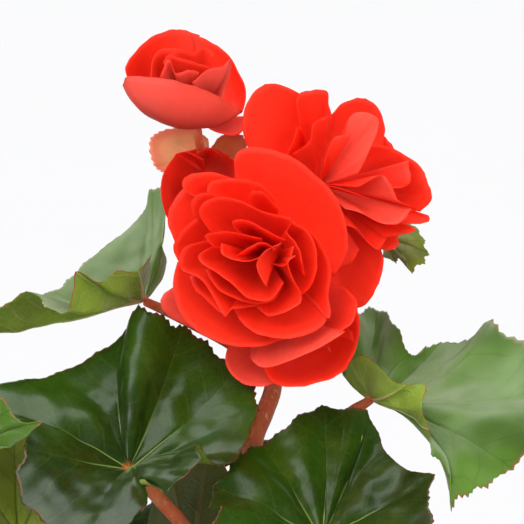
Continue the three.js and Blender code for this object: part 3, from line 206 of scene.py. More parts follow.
# Each bloom's foot, the axis along which its petals stand, and its petals from the outermost inwards:
# how far a petal's belly stands off the straight line, its rim, and its own foot where it has one
BLOOMS = {
    "bloom_front": ((267, 256, -6), (0, 0, -11), {
        "guard_upper_right": ((0, 0, 4), [(234, 178, -12), (236, 154, -15), (254, 147, -17),
            (289, 155, -20), (320, 178, -20), (343, 210, -18), (348, 248, -15), (334, 276, -12)]),
        "guard_lower_left": ((0, 0, 5), [(177, 262, -15), (173, 288, -18), (181, 315, -20),
            (202, 335, -21), (235, 347, -22), (265, 346, -22), (288, 338, -19)]),
        "guard_far_left": ((0, 0, 2), [(174, 286, -9), (161, 297, -11), (163, 311, -11), (181, 324, -10),
            (200, 331, -8)]),
        "left_outer": ((0, 0, 3), [(184, 187, -13), (171, 204, -15), (168, 224, -15), (175, 244, -14)]),
        "left_lower": ((0, 0, 4), [(198, 218, -20), (180, 232, -19), (173, 247, -18), (179, 264, -17)]),
        "top_left": ((0, 0, 4), [(197, 195, -18), (183, 187, -18), (186, 176, -18), (208, 171, -19),
            (234, 178, -16)]),
        "top_back": ((0, 0, 4), [(206, 192, -21), (212, 181, -21), (234, 178, -22), (258, 183, -22),
            (276, 198, -20)]),
        "upper_left": ((0, 0, 5), [(193, 216, -22), (191, 202, -25), (202, 193, -26), (226, 197, -24)]),
        "upper_wide": ((0, 0, 5), [(210, 232, -24), (199, 212, -28), (209, 199, -30), (240, 201, -31),
            (266, 213, -32), (292, 219, -35), (288, 230, -31)]),
        "upper_rolled": ((0, 0, 7), [(247, 202, -26), (251, 192, -29), (264, 192, -29), (279, 209, -25)]),
        "right_outer": ((0, 0, 5), [(293, 220, -25), (316, 238, -28), (331, 268, -28), (328, 294, -27),
            (329, 318, -30), (314, 302, -25)]),
        "right_middle": ((0, 0, 5), [(290, 221, -29), (310, 233, -31), (318, 258, -31), (313, 283, -30),
            (300, 295, -27)]),
        "right_inner": ((0, 0, 5), [(286, 231, -32), (298, 247, -34), (304, 263, -34), (305, 276, -31)]),
        "bottom_wide": ((0, 0, 5), [(234, 310, -23), (242, 325, -26), (262, 336, -28), (290, 339, -29),
            (313, 333, -29), (327, 319, -28), (316, 302, -24)]),
        "wavy_right": ((0, 0, 5), [(257, 307, -27), (270, 316, -30), (290, 309, -32), (301, 299, -34),
            (293, 279, -36), (288, 263, -38), (295, 255, -39)]),
        "lower_left_under": ((0, 0, 5), [(189, 276, -21), (195, 290, -23), (208, 300, -24),
            (221, 314, -25)]),
        "lower_left_outer": ((0, 0, 6), [(208, 240, -25), (183, 248, -27), (180, 269, -27),
            (202, 281, -28), (223, 316, -31), (232, 309, -29), (258, 306, -27)]),
        "lower_left_middle": ((0, 0, 6), [(205, 270, -28), (219, 291, -31), (246, 303, -32),
            (272, 301, -31), (283, 288, -30)]),
        "lower_left_inner": ((0, 0, 6), [(213, 246, -29), (199, 257, -32), (212, 270, -34),
            (229, 282, -36), (248, 298, -36), (271, 300, -35), (284, 283, -33)]),
        "tip_left": ((0, 0, 5), [(216, 248, -31), (205, 235, -36), (230, 232, -37), (262, 239, -36)]),
        "tongue": ((0, 0, 5), [(240, 233, -33), (232, 222, -37), (248, 221, -38), (268, 231, -38),
            (286, 239, -35)]),
        "spoon": ((0, 0, 4), [(221, 243, -37), (223, 255, -40), (241, 262, -41), (259, 258, -41),
            (268, 249, -40), (282, 243, -37)]),
        "spoon_fold": ((0, 0, 3), [(237, 255, -39), (248, 246, -42), (262, 242, -42), (277, 248, -39)]),
        "heart_blade": ((-3, 0, -2), [(269, 249, -38), (259, 259, -41), (258, 271, -41),
            (267, 287, -38)], (284, 244, -20)),
        "heart_shade": ((0, 0, 4), [(273, 264, -34), (281, 268, -35), (290, 261, -36), (294, 246, -36)]),
    }),
    "bloom_right": ((316, 187, 13), (3, -1, -7), {
        "guard_upper_left": ((0, 0, 4), [(250, 152, 0), (243, 128, -4), (248, 100, -3), (265, 84, 0),
            (286, 86, 3), (304, 96, 6)]),
        "top_ruffled": ((0, 0, 4), [(300, 129, 3), (297, 98, 2), (312, 90, 0), (327, 91, 0), (329, 105, 3),
            (333, 118, 5)]),
        "left_small": ((0, 0, 3), [(284, 156, -1), (292, 140, -3), (298, 127, -3), (305, 138, 0)]),
        "left_inner": ((0, 0, 4), [(291, 154, -4), (310, 140, -7), (314, 123, -6), (331, 114, -1)]),
        "top_right": ((0, 0, 4), [(331, 115, 5), (345, 102, 3), (363, 98, 2), (378, 108, 4), (385, 126, 6),
            (384, 146, 7)]),
        "fold_left": ((0, 0, -2), [(323, 162, -5), (332, 140, -9), (342, 135, -11),
            (352, 134, -12)], (321, 184, 6)),
        "fold_wide": ((0, 0, -2), [(344, 130, -9), (353, 114, -11), (370, 113, -13), (380, 123, -13),
            (370, 150, -12), (358, 174, -8)], (322, 185, 6)),
        "right_back": ((0, 0, 3), [(382, 133, 9), (390, 142, 8), (399, 154, 8)]),
        "right_wide": ((0, 0, 4), [(372, 144, 3), (393, 148, 0), (416, 162, -3), (427, 179, -4),
            (432, 198, -3), (421, 212, 0)]),
        "right_fold": ((0, 0, 3), [(384, 187, -4), (404, 187, -7), (411, 180, -8), (409, 160, -5)]),
        "tent": ((0, 0, 3), [(358, 188, -9), (372, 180, -12), (383, 175, -13), (392, 184, -13),
            (398, 200, -12), (411, 207, -9)], (320, 184, 5)),
        "slit": ((0, 0, 2), [(338, 187, -7), (352, 192, -10), (369, 199, -9)], (321, 185, 5)),
        "lower_light": ((0, -2, 3), [(412, 209, -9), (400, 223, -12), (384, 224, -12), (364, 214, -11),
            (345, 210, -7)], (320, 187, 6)),
        "tip_right": ((0, 0, 3), [(412, 210, 0), (426, 215, -3), (431, 220, -3), (420, 225, -3),
            (402, 223, -2)]),
        "pointed": ((0, 0, 3), [(386, 225, -5), (402, 223, -6), (415, 230, -7), (400, 235, -5),
            (384, 238, -3)]),
        "lower_thin": ((0, 0, 4), [(346, 226, -4), (359, 231, -7), (368, 243, -7), (379, 250, -4),
            (388, 238, -2)]),
        "right_low": ((0, 0, 3), [(399, 234, 3), (398, 247, 1), (386, 251, 1), (373, 245, 3)]),
        "guard_bottom": ((0, 0, 5), [(381, 248, 6), (384, 264, 4), (378, 288, 3), (363, 307, 4),
            (345, 307, 6), (328, 288, 8)]),
        "low_inner": ((0, 0, 4), [(360, 250, -1), (352, 263, -1), (338, 268, 1), (322, 262, 4)]),
        "guard_hidden": ((0, 0, 2), [(268, 160, 11), (262, 190, 12), (270, 218, 12), (298, 236, 12)]),
    }),
    "bloom_top": ((197, 119, 6), (-2, -12, -2), {
        "cup_back_left": ((-14, 10, 6), [(134, 88, -2), (125, 68, 0), (136, 50, 6), (158, 32, 11),
            (180, 29, 13), (200, 35, 13)]),
        "cup_back_right": ((10, 4, 6), [(190, 32, 13), (214, 43, 12), (232, 59, 12), (244, 84, 9),
            (246, 100, 7), (242, 113, 5)]),
        "cup_front": ((-17, 26, -9), [(122, 85, -8), (128, 76, -11), (154, 77, -14), (180, 81, -15),
            (204, 89, -13), (224, 99, -9), (243, 111, -1)]),
        "fold_left": ((-8, 8, 4), [(151, 78, -6), (152, 59, -1), (162, 49, 3), (176, 48, 5)]),
        "fold_right": ((4, 4, -4), [(192, 82, -11), (206, 70, -6), (223, 66, -2), (231, 58, 0),
            (229, 78, 0), (223, 99, -2)]),
        "inner_top": ((0, 6, 5), [(168, 55, 0), (178, 49, 2), (193, 52, 4), (204, 46, 6), (214, 54, 6)]),
        "inner_middle": ((0, 6, 3), [(163, 63, -3), (169, 55, -2), (188, 60, -2), (212, 67, 1)]),
        "inner_ragged": ((0, 6, 0), [(160, 77, -9), (168, 60, -8), (175, 73, -10), (188, 69, -9),
            (199, 72, -8)]),
        "under_right": ((2, 6, 0), [(208, 128, 2), (220, 134, 0), (236, 135, 0), (245, 127, 3),
            (244, 116, 5)]),
    }),
    "bloom_low": ((287, 313, 0), (6, 3, -6), {
        "guard_lower": ((2, 4, 6), [(262, 368, -12), (273, 384, -14), (300, 387, -20), (333, 378, -23),
            (352, 359, -21), (360, 330, -16), (357, 308, -12)]),
        "guard_left": ((-4, 4, 5), [(228, 342, -9), (225, 362, -12), (239, 381, -14), (258, 387, -14),
            (275, 384, -12)]),
        "cup_roll": ((-2, 2, -2), [(251, 346, -12), (251, 359, -16), (266, 367, -20), (300, 357, -28),
            (328, 342, -30), (345, 331, -30)]),
        "cup_right": ((0, 0, 7), [(341, 334, -29), (354, 321, -28), (357, 302, -22), (346, 288, -15),
            (333, 284, -8)]),
        "inner_low": ((0, 0, 3), [(310, 352, -20), (327, 346, -23), (331, 352, -22)]),
        "inner_right": ((0, 0, 3), [(343, 326, -23), (352, 333, -24), (354, 342, -21)]),
        "guard_back_right": ((0, 0, 2), [(302, 286, 5), (328, 281, 5), (347, 296, 3), (352, 318, 2)]),
        "guard_back_left": ((0, 0, 1), [(236, 338, 3), (240, 316, 5), (258, 298, 6), (276, 292, 6)]),
    }),
    "bloom_rear": ((206, 172, 14), (-6, 0, -5), {
        "cup_left": ((-4, 2, 6), [(176, 153, 2), (164, 172, -3), (161, 194, -5), (168, 219, -3),
            (186, 240, 1)]),
        "guard_top": ((0, 0, 2), [(171, 170, 10), (177, 155, 12), (190, 150, 13), (210, 147, 15),
            (230, 156, 16)]),
        "rolled_left": ((0, -4, 2), [(177, 153, 1), (188, 153, -1), (204, 160, -2)]),
        "rolled_top": ((0, -2, 3), [(193, 154, 5), (208, 148, 6), (222, 154, 8)]),
        "right": ((3, 0, 3), [(222, 152, 13), (240, 166, 15), (242, 190, 15), (230, 210, 13)]),
        "lower": ((0, 4, 4), [(190, 241, 6), (208, 250, 9), (226, 244, 12), (238, 218, 14)]),
        "guard_back": ((0, 4, 4), [(173, 186, 15), (170, 214, 16), (184, 240, 17), (206, 250, 18)]),
        "inner": ((0, 0, 3), [(182, 180, 2), (187, 198, 2), (208, 204, 5)]),
    }),
}
# The bracts, laid out as the petals are
BRACTS = {
    "bract_left": ((0, 0, 3), [(184, 167, 19), (164, 172, 16), (152, 162, 15), (149, 140, 16),
        (162, 130, 17), (190, 128, 19), (207, 137, 19), (208, 149, 20)], (202, 158, 20)),
    "bract_right": ((0, 0, 3), [(211, 147, 17), (219, 137, 16), (236, 132, 17), (247, 142, 18),
        (244, 160, 20), (234, 170, 21)], (212, 161, 20)),
}
# Each stem's foot on the soil and its stalks, the first from the soil, the others from a fork: places
# with radii on the way to the leaf or bloom that each carries, in millimetres for a leaf of the table
# ROUND_LEAVES
STEMS = {
    "stem_flowering": ((1, 5), {
        "bracts": [
            (251, 500, 6, 3.6), (254, 440, 6, 3.3), (265, 412, 7, 3.2), (273, 388, 10, 3.1),
            (272, 345, 20, 2.9), (262, 305, 27, 2.7), (248, 262, 31, 2.6), (232, 225, 32, 2.4),
            (218, 190, 30, 2.3), (207, 164, 22, 2.2)],
        "bloom_top": [(210, 172, 25, 1.9), (204, 158, 18, 1.8), (200, 146, 9, 1.6), (198, 134, 6, 1.6)],
        "bloom_rear": [(220, 194, 30, 1.7), (212, 181, 24, 1.7)],
        "bloom_right": [(248, 262, 31, 2), (276, 232, 29, 1.9), (300, 205, 24, 1.8)],
        "bloom_front": [(261, 300, 27, 2), (264, 277, 14, 1.9), (266, 262, 2, 1.8)],
        "bloom_low": [(271, 352, 19, 2), (281, 334, 14, 1.9), (286, 320, 8, 1.8)],
        "leaf_a": [
            (272, 376, 12, 2.2), (254, 361, 11, 2.1), (230, 344, 9, 2), (196, 326, 9, 1.9),
            (164, 310, 11, 1.8)],
        "leaf_e": [
            (273, 372, 13, 1.6), (290, 345, 21, 1.5), (315, 315, 25, 1.4), (345, 285, 29, 1.3),
            (370, 258, 31, 1.2)],
    }),
    "stem_left": ((-12, -3), {
        "leaf_b": [
            (236, 640, -4, 3.2), (222, 600, -7, 3), (205, 560, -12, 2.8), (182, 524, -19, 2.6),
            (160, 500, -24, 2.4), (142, 482, -24, 2.2)],
        "leaf_f": [(228, 616, -6, 2.1), (150, 566, -4, 1.9), (60, 514, -6, 1.8), (-4, 474, -15, 1.6)],
        "leaf_q": [(230, 625, -5, 2.1), (150, 596, -12, 1.9), (70, 566, -18, 1.7)],
        "leaf_g": [(219, 592, -9, 1.9), (204, 578, -5, 1.8)],
        "leaf_i": [(-13, -4, 114, 2), (-18, -28, 129, 1.8), (-22, -46, 132, 1.6)],
        "leaf_n": [(-13, -3, 114, 2), (-36, 1, 126, 1.9), (-54, 4, 129, 1.7)],
    }),
    "stem_right": ((12, -4), {
        "leaf_c": [(284, 650, -5, 3.2), (292, 620, -8, 2.8), (308, 582, -18, 2.4), (318, 558, -25, 2.1)],
        "leaf_d": [
            (285, 640, -5, 2.5), (297, 570, 4, 2.4), (312, 490, 9, 2.2), (332, 434, 11, 2),
            (352, 411, 11, 1.9), (364, 404, 10, 1.8)],
        "leaf_h": [(11, -5, 108, 2), (26, -26, 131, 1.9), (36, -38, 137, 1.7)],
        "leaf_j": [(11, -4, 106, 2), (36, -2, 126, 1.9), (55, 1, 130, 1.7)],
    }),
    "stem_back": ((-2, 22), {
        "leaf_o": [(-2, 24, 130, 3), (-1, 33, 146, 2.7), (1, 46, 158, 2.2), (2, 53, 166, 1.8)],
        "leaf_p": [(-2, 27, 140, 2.3), (-14, 30, 168, 2.1), (-25, 36, 192, 1.8)],
        "leaf_k": [(-2, 23, 116, 2.2), (20, 31, 138, 2), (36, 39, 146, 1.8)],
        "leaf_l": [(-2, 23, 112, 2.2), (-1, 40, 126, 2), (0, 53, 130, 1.8)],
        "leaf_m": [(-2, 23, 118, 2.2), (-22, 34, 142, 2), (-36, 44, 149, 1.8)],
    }),
}

# Which way a leaf's ribs run, +1 clockwise on its upper side, and the ribs that its main veins follow
VEINS = {
    "leaf_a": (1, (1, 4, 7, 10, 13, 16, 18.5, 21)),
    "leaf_b": (1, (8, 9.9, 14.8, 17.9, 20.3, 23.5)),
    "leaf_c": (-1, (1, 4, 7, 10, 13.5, 16, 18.5, 21)),
    "leaf_d": (1, (1, 3.5, 6, 8, 10, 12.5, 15, 18, 21, 24)),
    "leaf_e": (-1, (1, 3, 5, 7, 9)),
    "leaf_f": (1, (1, 3.5, 6, 8.5, 10, 12)),
    "leaf_g": (-1, (1, 3, 4.5, 6, 8)),
    "leaf_q": (1, (1, 3, 5, 7, 9)),
}
ROUND_VEINS = (1, (0.8, 2.6, 4.3, 6, 7.7, 9.4, 11.2))
# Ridges and valleys across a leaf: rib, width in ribs, height in millimetres, and where along it they peak
FOLDS = {
    "leaf_a": ((15.5, 0.7, 1.2, 1), (17.6, 0.6, -1.2, 1), (9, 1, 0.8, 0.8)),
    "leaf_b": ((16, 1.1, 1.6, 1), (13.6, 0.9, -0.7, 1), (18.6, 1, -1.2, 1), (20.5, 1.2, 1.2, 0.8),
               (12, 1, 1.4, 0.8), (2, 4, 2.6, 0.35), (29, 2, 2.2, 0.35), (6.5, 1.5, 1.5, 0.6)),
    "leaf_c": ((16, 0.5, 2.4, 1), (15.1, 0.45, -1.8, 1), (14, 0.6, 2.6, 1), (12.6, 0.7, -1.6, 1),
               (10, 0.9, 1.8, 1), (18.5, 0.8, -1.2, 1), (20, 0.9, 1.4, 0.8)),
    "leaf_d": ((10, 0.6, 1.6, 0.9), (11.4, 0.8, -2.2, 1), (13.5, 1, 1.4, 0.8), (17, 1, 1.4, 0.8)),
}
# Depths of the large and the small teeth, and swells of the fields, where a leaf has its own
TEETH = {"leaf_b": (0.04, 0.026), "leaf_d": (0.05, 0.038), "leaf_e": (0.13, 0.06)}
SWELLS = {"leaf_c": 0.05, "leaf_d": 0.07}
# Kinds of the leaves that aren't dark; the lighter green given to leaf_e and leaf_q is partly their own
# colour and partly painted light where they lie in shade
LEAF_SORTS = {"leaf_a": "Pearly", "leaf_d": "Silken", "leaf_e": "Fresh_and_painted_light", "leaf_f": "Young",
              "leaf_q": "Fresh_and_painted_light", "leaf_g": "Brown"}
# Petals that show the viewer their outer side (-1) or their inner side (1) against the rule
SIDES_SHOWN = {
    "bloom_front": {"guard_far_left": -1},
    "bloom_right": {"fold_wide": -1, "tent": -1, "lower_light": -1, "right_fold": 1, "pointed": 1},
    "bloom_low": {"guard_left": -1, "cup_roll": -1},
}
# How much painted shade darkens a bloom's petals, and on top of that its inner ones and its outer sides
BLOOM_PAINTED_SHADE = {"bloom_rear": (0.2, 0.8, 0), "bloom_top": (0, 0.9, 0.95), "bloom_low": (0, 0.5, 0)}
PLAIN_PAINTED_SHADE = (0, 0.1, 0)


def colour_setting(name, description, *default):
    return FloatVectorProperty(name=name, description=description, default=default, subtype="COLOR")


class BegoniaLeaves(bpy.types.PropertyGroup):
    thickness: FloatProperty(name="Thickness", description="Thickness of a leaf's blade",
                             default=0.0005, unit="LENGTH")
    tooth: FloatProperty(name="Tooth depth", description="Depth of a tooth as a share of its rib",
                         default=0.045, subtype="FACTOR")
    fine_tooth: FloatProperty(name="Small tooth depth", description="Depth of a small tooth as a share",
                              default=0.022, subtype="FACTOR")
    upper: colour_setting("Upper side", "Colour of the dark leaves' upper side", 0.012, 0.035, 0.0005)
    upper_light: colour_setting("Young upper side", "Colour of the light leaves", 0.055, 0.125, 0.006)
    under: colour_setting("Underside", "Colour of the leaves' underside", 0.14, 0.21, 0.018)
    vein: colour_setting("Vein", "Colour of the veins", 0.18, 0.26, 0.05)
    margin: colour_setting("Margin", "Colour of the teeth's tips", 0.16, 0.032, 0.014)


class BegoniaBlooms(bpy.types.PropertyGroup):
    thickness: FloatProperty(name="Thickness", description="Thickness of a petal",
                             default=0.0004, unit="LENGTH")
    face: colour_setting("Face", "Colour of the petals' inner side", 1.0, 0.028, 0.009)
    back: colour_setting("Back", "Colour of the petals' outer side", 0.85, 0.056, 0.032)
    edge: colour_setting("Edge", "Colour of the petals' rim", 1.0, 0.035, 0.012)
    bract: colour_setting("Bract", "Colour of the bracts", 0.76, 0.4, 0.19)
    # The right bract's colour is made lighter than its own, as painted light where it sits in shade behind
    # the blooms
    dark_bract_painted_lighter: colour_setting("Withered bract", "Colour of the older bract", 0.95, 0.4, 0.15)


class BegoniaStems(bpy.types.PropertyGroup):
    colour: colour_setting("Colour", "Colour of the stalks", 0.45, 0.085, 0.03)
    foot: colour_setting("Foot", "Colour of the stems near the soil", 0.2, 0.13, 0.04)
    grain: FloatProperty(name="Grain", description="Size of the cells that join the forks",
                         default=0.0005, unit="LENGTH")


class BegoniaPot(bpy.types.PropertyGroup):
    clay: colour_setting("Clay", "Colour of the pot", 0.45, 0.15, 0.065)
    soil: colour_setting("Soil", "Colour of the soil", 0.035, 0.02, 0.012)


class BegoniaStage(bpy.types.PropertyGroup):
    ground: colour_setting("Ground", "Colour of the floor", 0.72, 0.72, 0.73)
    sky: FloatProperty(name="Ambient light", description="Strength of the light from all round",
                       default=0.75)
    sun: FloatProperty(name="Key light", description="Strength of the soft distant light", default=2.4)
    fill: FloatProperty(name="Fill light", description="Strength of the distant light from the right",
                        default=1.6)
    key: FloatProperty(name="Top light", description="Power of the lamp that shows in the gloss, in watts",
                       default=17.0)
    side: FloatProperty(name="Side light", description="Power of the lamp at the left, in watts",
                        default=7.0)


def seen(place):
    """The point that shows at a pixel of the view, at a depth behind its middle, in millimetres."""
    x, y, depth = place
    scale = PIXEL * (1 + depth / VIEW_DISTANCE)
    middle = Vector(((x - VIEW_MIDDLE_PIXEL) * scale, 0, VIEW_MIDDLE_HEIGHT))
    return middle + LOOK_UP * ((VIEW_MIDDLE_PIXEL - y) * scale) + LOOK * depth


def spline(points, closed=False):
    """A smooth line through the points, read at a share of its length in points."""
    count = len(points)

    def at(index):
        if closed:
            return points[index % count]
        if index < 0:
            return points[0] * 2 - points[1]
        if index >= count:
            return points[-1] * 2 - points[-2]
        return points[index]

    def read(share):
        place = share * (count if closed else count - 1)
        first = math.floor(place)
        if not closed:
            first = min(max(first, 0), count - 2)
        rest = place - first
        a, b, c, d = at(first - 1), at(first), at(first + 1), at(first + 2)
        into, out = (c - a) * 0.5, (d - b) * 0.5
        square, cube = rest * rest, rest ** 3
        return (b * (2 * cube - 3 * square + 1) + into * (cube - 2 * square + rest)
                + c * (3 * square - 2 * cube) + out * (cube - square))

    return read


def fan(foot, middles, tips, closed=False):
    """A blade's surface: ribs curve from the foot through their middles to the rim."""
    middle_line, tip_line = spline(middles, closed), spline(tips, closed)

    def surface(turn, reach):
        tip = tip_line(turn)
        control = middle_line(turn) * 2 - foot * 0.5 - tip * 0.5
        return foot * (1 - reach) ** 2 + control * (2 * reach * (1 - reach)) + tip * reach ** 2

    return surface


def seen_ribs(name):
    """A leaf's foot, the middles and tips of its ribs, and whether they run all round."""
    foot, closed, ribs = SEEN_LEAVES[name]
    return seen(foot), [seen(rib[:3]) for rib in ribs], [seen(rib[3:]) for rib in ribs], closed


def round_ribs(name):
    """The same for a leaf of the common lopsided heart shape: its ribs fall and ripple from the foot."""
    foot, heading, slope, length = ROUND_LEAVES[name]
    start = Vector(foot)
    turn, tilt = math.radians(heading), math.radians(slope)
    ahead = Vector((math.cos(turn) * math.cos(tilt), math.sin(turn) * math.cos(tilt), math.sin(tilt)))
    aside = Vector((-math.sin(turn), math.cos(turn), 0))
    above = ahead.cross(aside)

    def rib(index, reach):
        angle, share, droop = HEART_RIBS[index]
        bearing = math.radians(-angle)
        ripple = (RIB_RIPPLE if index % 2 == 0 else -RIB_RIPPLE) * reach
        return (start + ahead * (reach * length * share * math.cos(bearing))
                + aside * (reach * length * share * math.sin(bearing))
                + above * (length * (RIB_ARCH * reach - (droop + RIB_ARCH) * reach ** 2 + ripple)))

    places = range(len(HEART_RIBS))
    return start, [rib(k, 0.5) for k in places], [rib(k, 1) for k in places], False


def petal_surface(foot, belly, rim):
    """A petal's surface; its belly is fullest half-way round the rim."""
    last = len(rim) - 1
    middles = []
    for index, tip in enumerate(rim):
        fullness = 0.55 + 0.45 * math.sin(math.pi * index / last)
        middles.append(seen([(t + f) / 2 + b * fullness for t, f, b in zip(tip, foot, belly)]))
    return fan(seen(foot), middles, [seen(tip) for tip in rim])


def vein_scale(places, gaps, closed):
    """Numbers a leaf's turns so that each main vein has a whole number."""
    knots, base = list(places), 0
    if closed:
        knots, base = [knots[-1] - gaps] + knots + [knots[0] + gaps], -1

    def number(turn):
        place = turn * gaps
        if place <= knots[0]:
            return base + (place - knots[0]) / (knots[1] - knots[0])
        for k in range(len(knots) - 1):
            if place <= knots[k + 1]:
                return base + k + (place - knots[k]) / (knots[k + 1] - knots[k])
        return base + len(knots) - 1 + (place - knots[-1]) / (knots[-1] - knots[-2])

    return number


def leaf_rim(place, depth, fine_depth):
    """How far the blade reaches at a rib's place: a tooth at each rib, and small teeth between them."""
    part = place - math.floor(place)
    large = 1 - abs(2 * part - 1)
    saw = (SMALL_TEETH * part) % 1
    notch = min(saw / 0.3, (1 - saw) / 0.7)
    rough = 0.35 + 1.8 * abs(noise.noise(Vector((place * 0.6, 3.1, depth))))
    return 1 - depth * (0.4 + 0.6 * rough) * large - fine_depth * rough * notch


def fold_height(name, place, reach, around):
    """How far ridges and valleys lift a leaf at a rib's place; around is the ribs' count if they close."""
    height = 0
    for middle, width, size, peak in FOLDS.get(name, ()):
        off = place - middle
        if around:
            off = (off + around / 2) % around - around / 2
        height += size * math.exp(-(off / width) ** 2) * (reach / peak * math.exp(1 - reach / peak)) ** 2
    return height


def blade_mesh():
    bm = bmesh.new()
    bm.loops.layers.uv.new("UVMap")
    bm.verts.layers.float.new("tone_and_painted_shade")
    return bm


def lay_blade(bm, surface, columns, rows, closed, rim, rise, flip=False, dark=0.0):
    """Lays a blade in the mesh: its rim scales each rib, and its rise lifts it off the surface."""
    tone_and_painted_shade, body = bm.verts.layers.float["tone_and_painted_shade"], bm.verts.layers.deform.verify()
    made = bmesh.ops.create_grid(bm, x_segments=columns, y_segments=rows, size=0.5, calc_uvs=True)["verts"]
    places = {vert: (vert.co.x + 0.5, vert.co.y + 0.5) for vert in made}
    # The blade's tone: the painted shade it is given as dark, plus a random spread
    blade_tone_and_painted_shade = dark + TONE_SPREAD * random.random()
    for vert, (turn, reach) in places.items():
        held = reach * (1 - (1 - rim(turn)) * reach ** 3)
        beside = surface(turn + NEXT_TO, held) - surface(turn - NEXT_TO, held)
        ahead = surface(turn, held + 0.01) - surface(turn, held - 0.01)
        out = beside.cross(ahead)
        if out.length > 1e-9:
            out.normalize()
        vert.co = surface(turn, held) + out * rise(turn, reach, held)
        vert[tone_and_painted_shade] = blade_tone_and_painted_shade
        share = min((1 - reach) / THIN_REACH, 1)
        vert[body][0] = share if closed else min(share, turn / THIN_TURN, (1 - turn) / THIN_TURN)
    foot = [vert for vert, (_, reach) in places.items() if reach < NOTHING]
    bmesh.ops.pointmerge(bm, verts=foot, merge_co=foot[0].co.copy())
    if closed:
        sides = [vert for vert in bm.verts
                 if vert in places and not NOTHING <= places[vert][0] <= 1 - NOTHING]
        bmesh.ops.remove_doubles(bm, verts=sides, dist=MERGE_DISTANCE)
    if flip:
        bmesh.ops.reverse_faces(bm, faces=[f for f in bm.faces if any(v in places for v in f.verts)])


def linked(name, data):
    """A new object of the scene."""
    thing = bpy.data.objects.new(name, data)
    bpy.context.scene.collection.objects.link(thing)
    return thing


def new_object(name, bm):
    mesh = bpy.data.meshes.new(name)
    bm.to_mesh(mesh)
    bm.free()
    return linked(name, mesh)


def applied(piece):
    """The mesh that an object's modifiers make; the object itself goes."""
    graph = bpy.context.evaluated_depsgraph_get()
    mesh = bpy.data.meshes.new_from_object(piece.evaluated_get(graph))
    bpy.data.objects.remove(piece)
    return mesh


def finish_piece(name, bm, materials, node_name, scale=MM):
    """Makes the mesh an object in metres that rides on the part and stands for its CAD node."""
    bmesh.ops.transform(bm, matrix=Matrix.Scale(scale, 4), verts=bm.verts)
    for face in bm.faces:
        face.smooth = True
    piece = new_object(name, bm)
    for material in materials:
        piece.data.materials.append(material)
    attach(piece, "root")
    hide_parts(node_name)
    return piece


def finish_blade(name, bm, materials, node_name, thickness):
    """Finishes a blade and thickens it: its upper side, underside and rim each take a material."""
    piece = finish_piece(name, bm, materials, node_name)
    solid = piece.modifiers.new("Thickness", "SOLIDIFY")
    solid.thickness = thickness
    solid.offset = 0
    solid.vertex_group = piece.vertex_groups.new(name="Thickness").name
    solid.thickness_vertex_group = RIM_THINNESS
    solid.material_offset = 1
    solid.material_offset_rim = 2
    return piece


def new_material(name):
    material = bpy.data.materials.new(name)
    material.use_nodes = True
    return material, material.node_tree.nodes["Principled BSDF"]


def feed(tree, socket, value):
    """Links another node's socket to an input, or sets its number or colour."""
    if isinstance(value, bpy.types.NodeSocket):
        tree.links.new(value, socket)
    elif socket.type == "RGBA":
        socket.default_value = (*value[:3], 1)
    else:
        socket.default_value = value


def node(beside, kind, **inputs):
    """Adds a node beside another or a socket; an input is called by its name, or by i and its number."""
    tree = beside.id_data
    made = tree.nodes.new(kind)
    for key, value in inputs.items():
        feed(tree, made.inputs[int(key[1:]) if key[1:].isdigit() else key], value)
    return made


def math_node(operation, a, b=0.0):
    made = node(a, "ShaderNodeMath", i0=a, i1=b)
    made.operation = operation
    return made.outputs[0]


def times(a, b):
    return math_node("MULTIPLY", a, b)


def plus(a, b):
    return math_node("ADD", a, b)


def band(value, low, high, out_low=0.0, out_high=1.0):
    """Runs smoothly from one value to another while the input goes from low to high."""
    made = node(value, "ShaderNodeMapRange", Value=value)
    made.interpolation_type = "SMOOTHSTEP"
    for key, number in (("From Min", low), ("From Max", high), ("To Min", out_low), ("To Max", out_high)):
        made.inputs[key].default_value = number
    return made.outputs[0]


def blend(share, a, b, strength=None):
    """Mixes colour b into colour a by a share, which a strength scales where one is given."""
    if strength is not None:
        share = times(share, strength)
    made = node(share, "ShaderNodeMix")
    made.data_type = "RGBA"
    for number, value in ((0, share), (6, a), (7, b)):
        feed(made.id_data, made.inputs[number], value)
    return made.outputs[2]


def place_node(shader):
    return node(shader, "ShaderNodeTexCoord").outputs["Object"]


def parts(vector):
    return node(vector, "ShaderNodeSeparateXYZ", i0=vector).outputs


def joined(*numbers):
    inputs = {f"i{index}": number for index, number in enumerate(numbers)}
    return node(numbers[0], "ShaderNodeCombineXYZ", **inputs).outputs[0]


def stretched(place, *scale):
    made = node(place, "ShaderNodeMapping", i0=place)
    made.inputs["Scale"].default_value = scale
    return made.outputs[0]


def uv_parts(shader, layer):
    made = node(shader, "ShaderNodeUVMap")
    made.uv_map = layer
    return parts(made.outputs[0])[:2]


def attribute(shader, name):
    made = node(shader, "ShaderNodeAttribute")
    made.attribute_name = name
    return made.outputs["Fac"]


def speckle(shader, scale, detail=2.0, roughness=0.5, vector=None):
    return node(shader, "ShaderNodeTexNoise", Vector=vector or place_node(shader), Scale=scale,
                Detail=detail, Roughness=roughness).outputs[0]


def relief(shader, height, distance, strength):
    made = node(shader, "ShaderNodeBump", Height=height, Strength=strength, Distance=distance)
    set_shader(shader, Normal=made.outputs[0])


def set_shader(shader, **sockets):
    for key, value in sockets.items():
        feed(shader.id_data, shader.inputs[key.replace("_", " ")], value)


def shade(colour, factor):
    return tuple(min(channel * factor, 1) for channel in colour)


